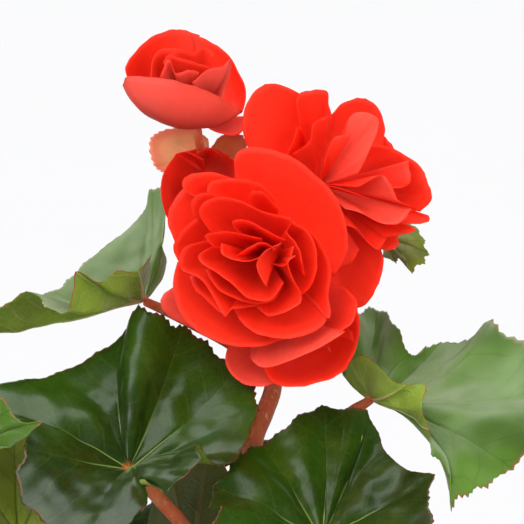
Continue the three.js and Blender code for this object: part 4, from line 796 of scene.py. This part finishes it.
def leaf_material(name, base, vein, margin, under=False, drawn=0.1, painted_sheen=None, rough=(0.34, 0.5),
                  specular=0.25, coat=0.0):
    """A begonia blade: main veins fan from the foot, side veins leave them, and a fine net joins them."""
    material, shader = new_material(name)
    number, reach = uv_parts(shader, "veins")
    span, along = attribute(shader, "span"), attribute(shader, "along")
    from_vein = times(math_node("PINGPONG", number, 0.5), span)
    width = band(reach, 0.0, 1.0, *((1.5, 0.35) if under else (0.65, 0.2)))
    main = band(math_node("DIVIDE", from_vein, width), 0.3, 1.0, 1.0, 0.0)
    aslant = math_node("SUBTRACT", along, times(from_vein, SIDE_VEIN_SLANT))
    side = band(math_node("PINGPONG", aslant, 4.5), 0.0, 0.6, 1.0, 0.0)
    cells = node(shader, "ShaderNodeTexVoronoi", Vector=place_node(shader), Scale=480.0)
    cells.feature = "DISTANCE_TO_EDGE"
    net = band(cells.outputs["Distance"], 0.0, 0.16, 1.0, 0.0)
    patches = band(speckle(shader, 26.0, 3.0), 0.35, 0.65)
    colour = blend(patches, shade(base, 0.72), shade(base, 1.4))
    mottle = band(speckle(shader, 75.0, 4.0, 0.65), 0.45, 0.7, 0.0, 0.12)
    colour = blend(mottle, colour, shade(vein, 0.6))
    colour = blend(net, colour, vein, 0.06 if under else 0.03)
    colour = blend(side, colour, vein, 0.16 if under else drawn * 0.6)
    faded = times(main, band(reach, 0.05, 0.55, 0.9, 0.6 if under else drawn))
    colour = blend(faded, colour, vein)
    colour = blend(band(along, 0.6, 3.4, 0.85, 0.0), colour, (0.5, 0.12, 0.03))
    if under:
        blush = times(main, band(along, 3.0, 16.0, 0.5, 0.0))
        colour = blend(blush, colour, (0.52, 0.24, 0.12))
    rim = times(band(reach, 0.972, 0.997), band(speckle(shader, 150.0), 0.38, 0.58, 0.0, 0.95))
    colour = blend(rim, colour, margin)
    # Painted sheen: where the upper side is seen at a slant, its colour is blended in mottled patches
    # towards a pale grey-green
    if painted_sheen:
        low, high, most = painted_sheen
        facing = node(shader, "ShaderNodeLayerWeight", Blend=0.5).outputs["Facing"]
        sheen = times(band(facing, low, high), most)
        sheen = times(sheen, band(speckle(shader, 45.0, 4.0), 0.35, 0.65, 0.45, 1.0))
        colour = blend(sheen, colour, (0.23, 0.3, 0.16))
    raised = plus(faded, times(side, 0.6 if under else 0.15))
    raised = plus(raised, times(net, 0.3 if under else 0.06))
    height = times(raised, 1.0 if under else -1.0)
    relief(shader, plus(height, times(speckle(shader, 1500.0), 0.25)), 0.0004, 0.5)
    set_shader(shader, Base_Color=colour, Specular_IOR_Level=specular,
               Roughness=band(speckle(shader, 90.0, 3.0), 0.3, 0.7, *rough),
               Coat_Weight=coat, Coat_Roughness=0.25,
               Subsurface_Weight=0.08, Subsurface_Radius=(0.4, 1.0, 0.1), Subsurface_Scale=0.0008)
    return material


def rim_material(name, base, margin):
    """The cut edge of a blade, reddest at the teeth's tips."""
    material, shader = new_material(name)
    tips = band(speckle(shader, 150.0), 0.45, 0.62, 0.0, 0.8)
    set_shader(shader, Base_Color=blend(tips, base, margin), Roughness=0.6, Specular_IOR_Level=0.1)
    return material


def petal_material(name, base, edge, light, lined=0.22):
    """A petal: fine lines run out from the foot, its flesh glows, and painted shade darkens it, most
    towards the foot.
    """
    material, shader = new_material(name)
    turn, reach = uv_parts(shader, "UVMap")
    tone_and_painted_shade = attribute(shader, "tone_and_painted_shade")
    along = joined(times(turn, 80.0), times(reach, 2.2), times(tone_and_painted_shade, 30.0))
    lines = speckle(shader, 1.0, 3.0, 0.6, along)
    patches = band(speckle(shader, 60.0, 3.0), 0.35, 0.65)
    colour = blend(patches, shade(base, 0.88), base)
    colour = blend(band(lines, 0.4, 0.8), colour, light, lined)
    # Painted shade: the tone attribute darkens the petal, more towards its foot than at its rim
    painted_shade_share = times(tone_and_painted_shade, band(reach, 0.5, 1.0, 0.75, 0.3))
    colour = blend(painted_shade_share, colour, shade(base, 0.3))
    # A slightly paler rim: painted glow of light shining through the thin edge
    colour = blend(band(reach, 0.93, 1.0, 0.0, 0.12), colour, edge)
    colour = blend(band(reach, 0.0, 0.35, 0.45, 0.0), colour, shade(base, 0.62))
    relief(shader, plus(lines, times(speckle(shader, 900.0), 0.4)), 0.0003, 0.3)
    set_shader(shader, Base_Color=colour, Roughness=band(lines, 0.3, 0.7, 0.5, 0.65),
               Specular_IOR_Level=0.2,
               Subsurface_Weight=0.25, Subsurface_Radius=(1.0, 0.06, 0.02), Subsurface_Scale=0.004)
    return material


def stem_material(colour, foot):
    """Juicy stalks: reddish, greener near the soil, with pale lengthwise flecks."""
    material, shader = new_material("Stalk flesh")
    place = place_node(shader)
    height = parts(place)[2]
    lengthwise = stretched(place, 1, 1, 0.22)
    flecks = band(speckle(shader, 900.0, 2.0, 0.5, lengthwise), 0.6, 0.7)
    streaks = speckle(shader, 260.0, 4.0, 0.6, lengthwise)
    patches = band(speckle(shader, 40.0, 3.0), 0.35, 0.65)
    skin = blend(patches, shade(colour, 0.75), shade(colour, 1.25))
    skin = blend(band(streaks, 0.45, 0.7), skin, (0.5, 0.2, 0.07), 0.4)
    skin = blend(band(height, 0.11, 0.18, 0.75, 0.0), skin, foot)
    skin = blend(flecks, skin, (0.62, 0.35, 0.2), 0.4)
    relief(shader, plus(streaks, flecks), 0.0003, 0.4)
    set_shader(shader, Base_Color=skin, Roughness=band(streaks, 0.3, 0.7, 0.4, 0.55),
               Specular_IOR_Level=0.25,
               Subsurface_Weight=0.2, Subsurface_Radius=(1.0, 0.3, 0.1), Subsurface_Scale=0.002)
    return material


def bract_material(name, colour, rim):
    """Papery bracts: blotched, finely lined and redder at the rim."""
    material, shader = new_material(name)
    turn, reach = uv_parts(shader, "UVMap")
    patches = band(speckle(shader, 50.0, 3.0), 0.35, 0.65)
    skin = blend(patches, shade(colour, 0.85), shade(colour, 1.25))
    blotches = band(speckle(shader, 110.0, 4.0, 0.65), 0.45, 0.7)
    skin = blend(blotches, skin, (colour[0] * 0.7, colour[1] * 1.1, colour[2] * 0.6), 0.6)
    skin = blend(band(reach, 0.65, 1.0, 0.0, 0.8), skin, rim)
    along = joined(times(turn, 40.0), times(reach, 2.0))
    relief(shader, speckle(shader, 1.0, 3.0, 0.6, along), 0.0003, 0.5)
    set_shader(shader, Base_Color=skin, Roughness=0.5, Subsurface_Weight=0.15,
               Subsurface_Radius=(1.0, 0.4, 0.2), Subsurface_Scale=0.001)
    return material


def clay_material(colour):
    """Fired clay: mottled, finely gritty, with pale mineral bloom and darker damp clay low down."""
    material, shader = new_material("Terracotta")
    place = place_node(shader)
    height = parts(place)[2]
    mottle = band(speckle(shader, 22.0, 5.0, 0.6), 0.3, 0.7)
    skin = blend(mottle, shade(colour, 0.82), shade(colour, 1.2))
    grit = speckle(shader, 1100.0, 3.0, 0.6)
    skin = blend(band(grit, 0.58, 0.68), skin, shade(colour, 0.5), 0.45)
    bloom = times(band(speckle(shader, 45.0, 6.0, 0.7), 0.5, 0.68),
                  band(height, 0.03, 0.1, 0.15, 0.6))
    skin = blend(bloom, skin, (0.62, 0.46, 0.36))
    skin = blend(band(height, 0.0, 0.03, 0.45, 0.0), skin, shade(colour, 0.5))
    rings = speckle(shader, 420.0, 2.0, 0.5, stretched(place, 0.1, 0.1, 1))
    relief(shader, plus(grit, times(rings, 0.8)), 0.0004, 0.5)
    set_shader(shader, Base_Color=skin, Roughness=band(mottle, 0.0, 1.0, 0.78, 0.92))
    return material


def soil_material(colour):
    """Moist potting soil with bark and paler grains."""
    material, shader = new_material("Potting soil")
    crumbs = speckle(shader, 320.0, 6.0, 0.7)
    skin = blend(band(crumbs, 0.35, 0.65), shade(colour, 0.5), shade(colour, 1.9))
    grains = node(shader, "ShaderNodeTexVoronoi", Vector=place_node(shader), Scale=380.0)
    pale = band(grains.outputs["Distance"], 0.12, 0.2, 0.6, 0.0)
    skin = blend(pale, skin, (0.16, 0.1, 0.06))
    relief(shader, crumbs, 0.0012, 0.9)
    set_shader(shader, Base_Color=skin, Roughness=band(crumbs, 0.3, 0.7, 0.75, 0.95))
    return material


def build_leaf(name, materials, props):
    """One leaf: a fan of ribs with sunken veins, puffed fields and a rim of teeth."""
    in_view = name in SEEN_LEAVES
    foot, middles, tips, closed = seen_ribs(name) if in_view else round_ribs(name)
    surface = fan(foot, middles, tips, closed)
    gaps = len(tips) if closed else len(tips) - 1
    side, veins = VEINS.get(name, ROUND_VEINS)
    number = vein_scale(veins, gaps, closed)
    seed = random.random() * 50
    large, fine = TEETH.get(name, (props.tooth, props.fine_tooth))
    puff = SWELLS.get(name, FIELD_SWELL)

    def span_at(turn, reach):
        width = (surface(turn + NEXT_TO, reach) - surface(turn - NEXT_TO, reach)).length
        return width / max(number(turn + NEXT_TO) - number(turn - NEXT_TO), 1e-6)

    def rise(turn, reach, held):
        span = span_at(turn, held)
        off = abs((number(turn) + 0.5) % 1 - 0.5) * span
        along = (surface(turn, held) - foot).length
        field = abs(math.sin(math.pi * (along - SIDE_VEIN_SLANT * off) / SIDE_VEIN_DISTANCE))
        place = surface(turn, held) + Vector((seed, 0, 0))
        free = math.sin(math.pi * reach) if in_view else reach
        wave = noise.noise(place * 0.045) * WAVE_HEIGHT * free
        ruck = noise.noise(place * 0.13) * (RUCK_HEIGHT * free + 0.3 * reach)
        swell = puff * span * (0.5 - 0.5 * math.cos(math.tau * number(turn)))
        furrow = FURROW_DEPTH * math.exp(-(off / (FURROW_WIDTH * (1.2 - reach))) ** 2)
        lift = fold_height(name, turn * gaps, reach, gaps if closed else 0)
        field *= PUFF_HEIGHT * min(off / 3, 1)
        return side * (swell * min(reach * 2, 1) + field + lift - furrow) + wave + ruck

    bm = blade_mesh()
    lay_blade(bm, surface, gaps * SMALL_TEETH * 2, LEAF_ROWS if in_view else ROUND_LEAF_ROWS, closed,
              lambda turn: leaf_rim(turn * gaps, large, fine), rise, side < 0)
    span, along = bm.verts.layers.float.new("span"), bm.verts.layers.float.new("along")
    turns, numbers = bm.loops.layers.uv["UVMap"], bm.loops.layers.uv.new("veins")
    for face in bm.faces:
        for loop in face.loops:
            turn, reach = loop[turns].uv
            loop[numbers].uv = (number(turn), reach)
            loop.vert[span] = span_at(min(max(turn, NEXT_TO), 1 - NEXT_TO), reach)
            loop.vert[along] = (loop.vert.co - foot).length
    return finish_blade(f"{name}_blade", bm, materials, name, props.thickness)


def petal_shape(foot, belly, rim):
    """A petal's surface, how it flutters off it, and the way that its upper side looks."""
    surface = petal_surface(foot, belly, rim)
    gaps = len(rim) - 1
    seed = random.random() * 90

    def edge(turn):
        return 1 - PETAL_NOTCH * abs(noise.noise(Vector((turn * gaps * 1.7, seed, 1))))

    def rise(turn, reach, held):
        flutter = noise.noise(Vector((turn * gaps * 0.8, reach * 1.6, seed))) * FLUTTER_HEIGHT * reach ** 2
        fold = noise.noise(Vector((turn * gaps * 2.3, reach * 0.7, seed + 7))) * PLEAT_HEIGHT
        return flutter + fold * min(4 * reach, 1)

    facing = surface(0.5, 0.95) - surface(0.5, 0.05)
    aside = surface(0.6, 0.5) - surface(0.4, 0.5)
    return surface, edge, rise, aside.cross(facing)


def build_bloom(name, materials, props):
    """One double bloom: each petal a fan of its own, in rows along the receptacle."""
    foot, axis, petals = BLOOMS[name]
    foot, axis = Vector(foot), Vector(axis)
    front = (seen(foot + axis) - seen(foot)).normalized()
    shown = SIDES_SHOWN.get(name, {})
    shaded, inner, outer = BLOOM_PAINTED_SHADE.get(name, PLAIN_PAINTED_SHADE)
    bm = blade_mesh()
    for row, (petal, (belly, rim, *own_foot)) in enumerate(petals.items()):
        height = row / (len(petals) - 1)
        start = own_foot[0] if own_foot else tuple(foot + axis * height)
        surface, edge, rise, out = petal_shape(start, belly, rim)
        away = out.dot(front) < 0
        if petal in shown:
            away = out.dot(-LOOK) * shown[petal] < 0
        # Painted shade for this petal: the whole bloom's, more on inner petals, and more on the outer sides
        # of the outermost
        dark = shaded + (inner if height > 0.4 else 0) + (outer if away and height < 0.3 else 0)
        lay_blade(bm, surface, PETAL_COLUMNS * (len(rim) - 1), PETAL_ROWS, False, edge, rise, away, dark)
    return finish_blade(f"{name}_petals", bm, materials, name, props.thickness)


def build_bract(name, materials, props):
    """One bract at the fork of the flower stalks, finely toothed."""
    belly, rim, foot = BRACTS[name]
    bm = blade_mesh()
    surface, _, rise, _ = petal_shape(foot, belly, rim)
    gaps = len(rim) - 1

    def edge(turn):
        return 1 - BRACT_NOTCH * abs((turn * gaps * 3) % 1 - 0.5) * 2

    lay_blade(bm, surface, BRACT_COLUMNS * gaps, PETAL_ROWS, False, edge, rise)
    return finish_blade(f"{name}_blade", bm, materials, name, props.thickness)


def stalk_route(base, carries, points, rooted):
    """A stalk's places in millimetres with its radii, from the soil or its fork to what it carries."""
    route = []
    if rooted:
        for height in (SOIL_HEIGHT - STEM_HOLE_DEPTH, SOIL_HEIGHT + 3):
            route.append((Vector((*base, height)), points[0][3]))
    for *place, radius in points:
        route.append((Vector(place) if carries in ROUND_LEAVES else seen(place), radius))
    tip = STALK_TIP * points[-1][3]
    if carries in ROUND_LEAVES:
        route.append((Vector(ROUND_LEAVES[carries][0]), tip))
    elif carries != "bracts":
        route.append((seen({**SEEN_LEAVES, **BLOOMS}[carries][0]), tip))
    return route


def build_stem(name, material, props):
    """A stem's stalks as smooth tubes, grown together at their forks."""
    base, stalks = STEMS[name]
    curve = bpy.data.curves.new(name, "CURVE")
    curve.dimensions = "3D"
    curve.bevel_depth = MM
    curve.bevel_resolution = 4
    curve.resolution_u = 8
    curve.use_fill_caps = True
    for index, (carries, points) in enumerate(stalks.items()):
        route = stalk_route(base, carries, points, index == 0)
        line = curve.splines.new("BEZIER")
        line.bezier_points.add(len(route) - 1)
        for place, (point, radius) in zip(line.bezier_points, route):
            place.co = point * MM
            place.radius = radius
            place.handle_left_type = "AUTO"
            place.handle_right_type = "AUTO"
    tubes = linked(name, applied(linked(name, curve)))
    grown = tubes.modifiers.new("Grown together", "REMESH")
    grown.mode = "VOXEL"
    grown.voxel_size = props.grain
    bm = bmesh.new()
    bm.from_mesh(applied(tubes))
    for _ in range(FORK_SMOOTHINGS):
        bmesh.ops.smooth_vert(bm, verts=bm.verts, factor=0.5, use_axis_x=True, use_axis_y=True,
                              use_axis_z=True)
    return finish_piece(f"{name}_stalks", bm, [material], name, scale=1)


def rounded(corners, steps=5):
    """An outline through the corners, each (r, z, rounding): a corner turns by an arc-like curve."""
    line = []
    for k, (r, z, size) in enumerate(corners):
        here = Vector((r, z))
        if size == 0:
            line.append(here)
            continue
        back = (Vector(corners[k - 1][:2]) - here).normalized() * size
        ahead = (Vector(corners[k + 1][:2]) - here).normalized() * size
        for step in range(steps + 1):
            t = step / steps
            line.append(here + back * (1 - t) ** 2 + ahead * t ** 2)
    return line


def turned(outline, steps):
    """Turns an outline of (r, z) round the upright axis into a closed body."""
    bm = bmesh.new()
    verts = [bm.verts.new((point.x, 0, point.y)) for point in outline]
    edges = [bm.edges.new(pair) for pair in zip(verts, verts[1:])]
    bmesh.ops.spin(bm, geom=verts + edges, cent=(0, 0, 0), axis=(0, 0, 1), dvec=(0, 0, 0),
                   angle=math.tau, steps=steps, use_merge=True, use_duplicate=False)
    bmesh.ops.remove_doubles(bm, verts=bm.verts, dist=MERGE_DISTANCE)
    bmesh.ops.recalc_face_normals(bm, faces=bm.faces)
    return bm


def build_pot(material):
    """The clay pot: a flared wall, a rim band, and a foot with drain holes."""
    drills = bmesh.new()
    for angle in (90, 210, 330):
        bearing = math.radians(angle)
        spot = Vector((math.cos(bearing), math.sin(bearing), 0)) * DRAIN_CIRCLE_RADIUS
        bmesh.ops.create_cone(drills, cap_ends=True, segments=32, radius1=DRAIN_HOLE_RADIUS,
                              radius2=DRAIN_HOLE_RADIUS, depth=30, matrix=Matrix.Translation(spot))
    drill = new_object("drills", drills)
    inner = POT_RIM_RADIUS - POT_WALL
    body = new_object("body", turned(rounded([
        (0, 0, 0),
        (POT_FOOT_RADIUS, 0, 1.6),
        (NECK_RADIUS, RIM_BAND_FOOT, 1.2),
        (POT_RIM_RADIUS - 2, RIM_BAND_FOOT + 0.6, 1.4),
        (POT_RIM_RADIUS, POT_HEIGHT, 2.4),
        (inner, POT_HEIGHT, 2.2),
        (inner - 1, POT_HEIGHT - 4, 1),
        (NECK_RADIUS - POT_WALL, RIM_BAND_FOOT - 6, 2),
        (POT_FOOT_RADIUS - POT_WALL, POT_FLOOR, 3),
        (0, POT_FLOOR, 0),
    ]), POT_STEPS))
    cut = body.modifiers.new("Drain holes", "BOOLEAN")
    cut.operation = "DIFFERENCE"
    cut.object = drill
    bm = bmesh.new()
    bm.from_mesh(applied(body))
    bpy.data.objects.remove(drill)
    return finish_piece("pot_clay", bm, [material], "pot")


def build_soil(material):
    """Potting soil up to near the rim: an uneven crumbly top with loose crumbs and bark."""
    neck = NECK_RADIUS - POT_WALL
    flare = (POT_RIM_RADIUS - POT_WALL - 1 - neck) / (POT_HEIGHT - 4 - RIM_BAND_FOOT + 6)
    top = neck + (SOIL_HEIGHT - RIM_BAND_FOOT + 6) * flare
    outline = [Vector((0, POT_FLOOR + 0.3)), Vector((POT_FOOT_RADIUS - POT_WALL - 0.3, POT_FLOOR + 0.3)),
               Vector((neck - 0.3, RIM_BAND_FOOT - 6))]
    outline += [Vector(((top - 0.3) * (1 - k / SOIL_RINGS), SOIL_HEIGHT)) for k in range(SOIL_RINGS + 1)]
    bm = turned(outline, SOIL_STEPS)
    for vert in bm.verts:
        if vert.co.z > SOIL_HEIGHT - 0.1:
            far = min((top - math.hypot(vert.co.x, vert.co.y)) / 8, 1)
            coarse = noise.noise(vert.co * 0.06) * 1.6
            fine = noise.noise(vert.co * 0.32) * 1.1
            vert.co.z += (coarse + fine) * (0.35 + 0.65 * far)
    for _ in range(CRUMBS):
        far, bearing = top * 0.96 * math.sqrt(random.random()), random.random() * math.tau
        spot = Vector((far * math.cos(bearing), far * math.sin(bearing), SOIL_HEIGHT + 0.3))
        size = 0.5 + 1.3 * random.random() ** 2
        turn = Matrix.Rotation(random.random() * math.tau, 4, Vector((random.random(), random.random(), 1)))
        shape = Matrix.Diagonal((size * (1 + random.random()), size, size * 0.7, 1))
        crumb = bmesh.ops.create_icosphere(bm, subdivisions=1, radius=1,
                                           matrix=Matrix.Translation(spot) @ turn @ shape)["verts"]
        for vert in crumb:
            vert.co += (vert.co - spot) * noise.noise(vert.co * 1.3) * 0.5
    return finish_piece("soil_top", bm, [material], "soil")


def build_stage(props):
    """A pale floor without a horizon in view, light from all round, two soft suns, two lamps, a camera."""
    bm = bmesh.new()
    bmesh.ops.create_grid(bm, x_segments=4, y_segments=4, size=12)
    floor = new_object("floor", bm)
    floor.location.z = -0.0005
    material, shader = new_material("Pale floor")
    set_shader(shader, Roughness=0.9, Specular_IOR_Level=0.1,
               Base_Color=blend(speckle(shader, 3.0), shade(props.ground, 0.985), props.ground))
    floor.data.materials.append(material)
    scene = bpy.context.scene
    scene.view_settings.view_transform = "Standard"
    world = bpy.data.worlds.new("Soft light")
    world.use_nodes = True
    scene.world = world
    world.cycles_visibility.glossy = False
    sky = world.node_tree.nodes["Background"]
    sight = node(sky, "ShaderNodeTexCoord").outputs["Generated"]
    rise = math_node("ABSOLUTE", parts(sight)[2])
    set_shader(sky, Color=(1, 1, 1), Strength=band(rise, 0.0, 0.3, 1.27 * props.sky, props.sky))
    aim = Vector((0, 0, VIEW_MIDDLE_HEIGHT * MM))
    for name, kind, power, breadth, place in (
            ("Key light", "SUN", props.sun, math.radians(50), (-0.5, -0.9, 1.25)),
            ("Fill light", "SUN", props.fill, math.radians(60), (0.8, -0.9, 0.45)),
            ("Top light", "AREA", props.key, 1.1, (-0.4, -0.05, 1.15)),
            ("Side light", "AREA", props.side, 0.5, (-1.0, -0.6, 0.3))):
        lamp = bpy.data.lights.new(name, kind)
        lamp.energy = power
        setattr(lamp, "angle" if kind == "SUN" else "size", breadth)
        holder = linked(name, lamp)
        holder.location = place
        holder.rotation_euler = (aim - Vector(place)).to_track_quat("-Z", "Y").to_euler()
        holder.visible_glossy = kind == "AREA"
        holder.visible_diffuse = kind == "SUN"
    camera = bpy.data.cameras.new("Camera")
    camera.sensor_width = 36
    camera.lens = camera.sensor_width / 2 / (PIXEL * VIEW_MIDDLE_PIXEL / VIEW_DISTANCE)
    camera.clip_end = 60
    eye = linked("Camera", camera)
    eye.location = aim - LOOK * VIEW_DISTANCE * MM
    eye.rotation_euler = LOOK.to_track_quat("-Z", "Y").to_euler()
    scene.camera = eye
    return [eye]


def leaf_sorts(props):
    """What each kind of leaf has: upper side, veins, underside, and the look of its upper side: how
    strongly veins are drawn, its gloss and its painted sheen.
    """
    light, groove = props.upper_light, shade(props.upper_light, 0.45)
    tender = shade(props.under, 1.15)
    return {
        "Dark": (props.upper, props.vein, props.under, {
            "drawn": 0.08, "painted_sheen": (0.6, 1, 0.6), "rough": (0.34, 0.5), "specular": 0.1, "coat": 0.38}),
        "Pearly": (shade(light, 0.8), props.vein, props.under, {
            "drawn": 0.1, "painted_sheen": (0, 0.55, 1), "rough": (0.46, 0.6), "specular": 0.3}),
        "Silken": (light, groove, tender, {
            "drawn": 0.35, "painted_sheen": (0.05, 0.65, 1), "rough": (0.4, 0.55), "specular": 0.3}),
        "Young": (light, groove, tender, {
            "drawn": 0.5, "painted_sheen": (0.3, 0.95, 0.7), "rough": (0.38, 0.5), "specular": 0.25}),
        # A lighter green, partly the young leaves' own and partly painted light for leaves that lie in
        # shade
        "Fresh_and_painted_light": ((0.16, 0.2, 0.015), groove, props.under, {
            "drawn": 0.5, "painted_sheen": (0.2, 0.9, 0.7), "rough": (0.38, 0.5), "specular": 0.25}),
        "Brown": (props.upper, props.vein, (0.06, 0.072, 0.008), {
            "drawn": 0.1, "painted_sheen": (0.6, 1, 0.6), "rough": (0.34, 0.5), "specular": 0.15}),
    }


def leaf_materials(sort, margin, upper, vein, under, finish_and_painted_sheen):
    """A leaf's three materials: upper side, underside and rim."""
    margin = shade(margin, 0.7 if sort in ("Dark", "Brown") else 1.7)
    pale = (0.13, 0.1, 0.02) if sort == "Brown" else (0.48, 0.45, 0.2)
    return [leaf_material(f"{sort} leaf, upper side", upper, vein, margin, **finish_and_painted_sheen),
            leaf_material(f"{sort} leaf, underside", under, pale, margin, under=True, rough=(0.42, 0.58)),
            rim_material(f"{sort} leaf, rim", shade(upper, 2), margin)]


def finished(operator, made):
    """What an operator returns; it raises an error where it made nothing."""
    if not made:
        raise RuntimeError(f"{operator.bl_label} made nothing")
    return {"FINISHED"}


class BEGONIA_OT_pot(bpy.types.Operator):
    """Make the clay pot"""
    bl_idname = "begonia.pot"
    bl_label = "Make the pot"
    bl_options = {"REGISTER", "UNDO"}

    def execute(self, context):
        return finished(self, [build_pot(clay_material(context.scene.begonia_pot.clay))])


class BEGONIA_OT_soil(bpy.types.Operator):
    """Make the potting soil"""
    bl_idname = "begonia.soil"
    bl_label = "Make the soil"
    bl_options = {"REGISTER", "UNDO"}

    def execute(self, context):
        random.seed(SOIL_SEED)
        return finished(self, [build_soil(soil_material(context.scene.begonia_pot.soil))])


class BEGONIA_OT_stems(bpy.types.Operator):
    """Make the stems with their stalks"""
    bl_idname = "begonia.stems"
    bl_label = "Make the stems"
    bl_options = {"REGISTER", "UNDO"}

    def execute(self, context):
        props = context.scene.begonia_stems
        material = stem_material(props.colour, props.foot)
        return finished(self, [build_stem(name, material, props) for name in STEMS])


class BEGONIA_OT_leaves(bpy.types.Operator):
    """Make the leaves"""
    bl_idname = "begonia.leaves"
    bl_label = "Make the leaves"
    bl_options = {"REGISTER", "UNDO"}

    def execute(self, context):
        random.seed(BLADE_SEED)
        props = context.scene.begonia_leaves
        materials = {sort: leaf_materials(sort, props.margin, *looks)
                     for sort, looks in leaf_sorts(props).items()}
        return finished(self, [build_leaf(name, materials[LEAF_SORTS.get(name, "Dark")], props)
                               for name in (*SEEN_LEAVES, *ROUND_LEAVES)])


class BEGONIA_OT_blooms(bpy.types.Operator):
    """Make the double blooms"""
    bl_idname = "begonia.blooms"
    bl_label = "Make the blooms"
    bl_options = {"REGISTER", "UNDO"}

    def execute(self, context):
        random.seed(BLADE_SEED)
        props = context.scene.begonia_blooms
        materials = [petal_material("Petal, inner side", props.face, props.edge, shade(props.edge, 1.1)),
                     petal_material("Petal, outer side", props.back, props.edge, (0.9, 0.13, 0.09), 0.28),
                     rim_material("Petal, rim", shade(props.face, 0.85), props.face)]
        return finished(self, [build_bloom(name, materials, props) for name in BLOOMS])


class BEGONIA_OT_bracts(bpy.types.Operator):
    """Make the bracts at the fork of the flower stalks"""
    bl_idname = "begonia.bracts"
    bl_label = "Make the bracts"
    bl_options = {"REGISTER", "UNDO"}

    def execute(self, context):
        random.seed(BLADE_SEED)
        props = context.scene.begonia_blooms
        made = []
        for name, title, colour, rim in (
                ("bract_left", "Bract left", props.bract, (0.8, 0.2, 0.12)),
                ("bract_right", "Bract right", props.dark_bract_painted_lighter, (0.62, 0.1, 0.06))):
            materials = [bract_material(f"{title}, inner side", colour, rim),
                         bract_material(f"{title}, outer side", shade(colour, 0.85), rim),
                         rim_material(f"{title}, rim", colour, rim)]
            made.append(build_bract(name, materials, props))
        return finished(self, made)


class BEGONIA_OT_stage(bpy.types.Operator):
    """Set the floor, the lights and the camera"""
    bl_idname = "begonia.stage"
    bl_label = "Set the stage"
    bl_options = {"REGISTER", "UNDO"}

    def execute(self, context):
        return finished(self, build_stage(context.scene.begonia_stage))


OPERATORS = (BEGONIA_OT_stage, BEGONIA_OT_pot, BEGONIA_OT_soil, BEGONIA_OT_stems, BEGONIA_OT_leaves,
             BEGONIA_OT_blooms, BEGONIA_OT_bracts)
PROPERTIES = {
    "begonia_leaves": BegoniaLeaves,
    "begonia_blooms": BegoniaBlooms,
    "begonia_stems": BegoniaStems,
    "begonia_pot": BegoniaPot,
    "begonia_stage": BegoniaStage,
}


class BEGONIA_PT_panel(bpy.types.Panel):
    """Lists the steps in their order, and the sizes and colours"""
    bl_label = "Potted begonia"
    bl_idname = "BEGONIA_PT_panel"
    bl_space_type = "VIEW_3D"
    bl_region_type = "UI"
    bl_category = "Begonia"

    def draw(self, context):
        for operator in OPERATORS:
            self.layout.operator(operator.bl_idname)
        for name in PROPERTIES:
            group = getattr(context.scene, name)
            for key in group.__annotations__:
                self.layout.prop(group, key)


def register():
    for kind in (*PROPERTIES.values(), *OPERATORS, BEGONIA_PT_panel):
        bpy.utils.register_class(kind)
    for name, kind in PROPERTIES.items():
        setattr(bpy.types.Scene, name, PointerProperty(type=kind))


def unregister():
    for name in PROPERTIES:
        delattr(bpy.types.Scene, name)
    for kind in (BEGONIA_PT_panel, *reversed(OPERATORS), *PROPERTIES.values()):
        bpy.utils.unregister_class(kind)


def main():
    register()
    for step in (bpy.ops.begonia.stage, bpy.ops.begonia.pot, bpy.ops.begonia.soil, bpy.ops.begonia.stems,
                 bpy.ops.begonia.leaves, bpy.ops.begonia.blooms, bpy.ops.begonia.bracts):
        step()
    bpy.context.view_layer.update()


if __name__ == "__main__":
    main()
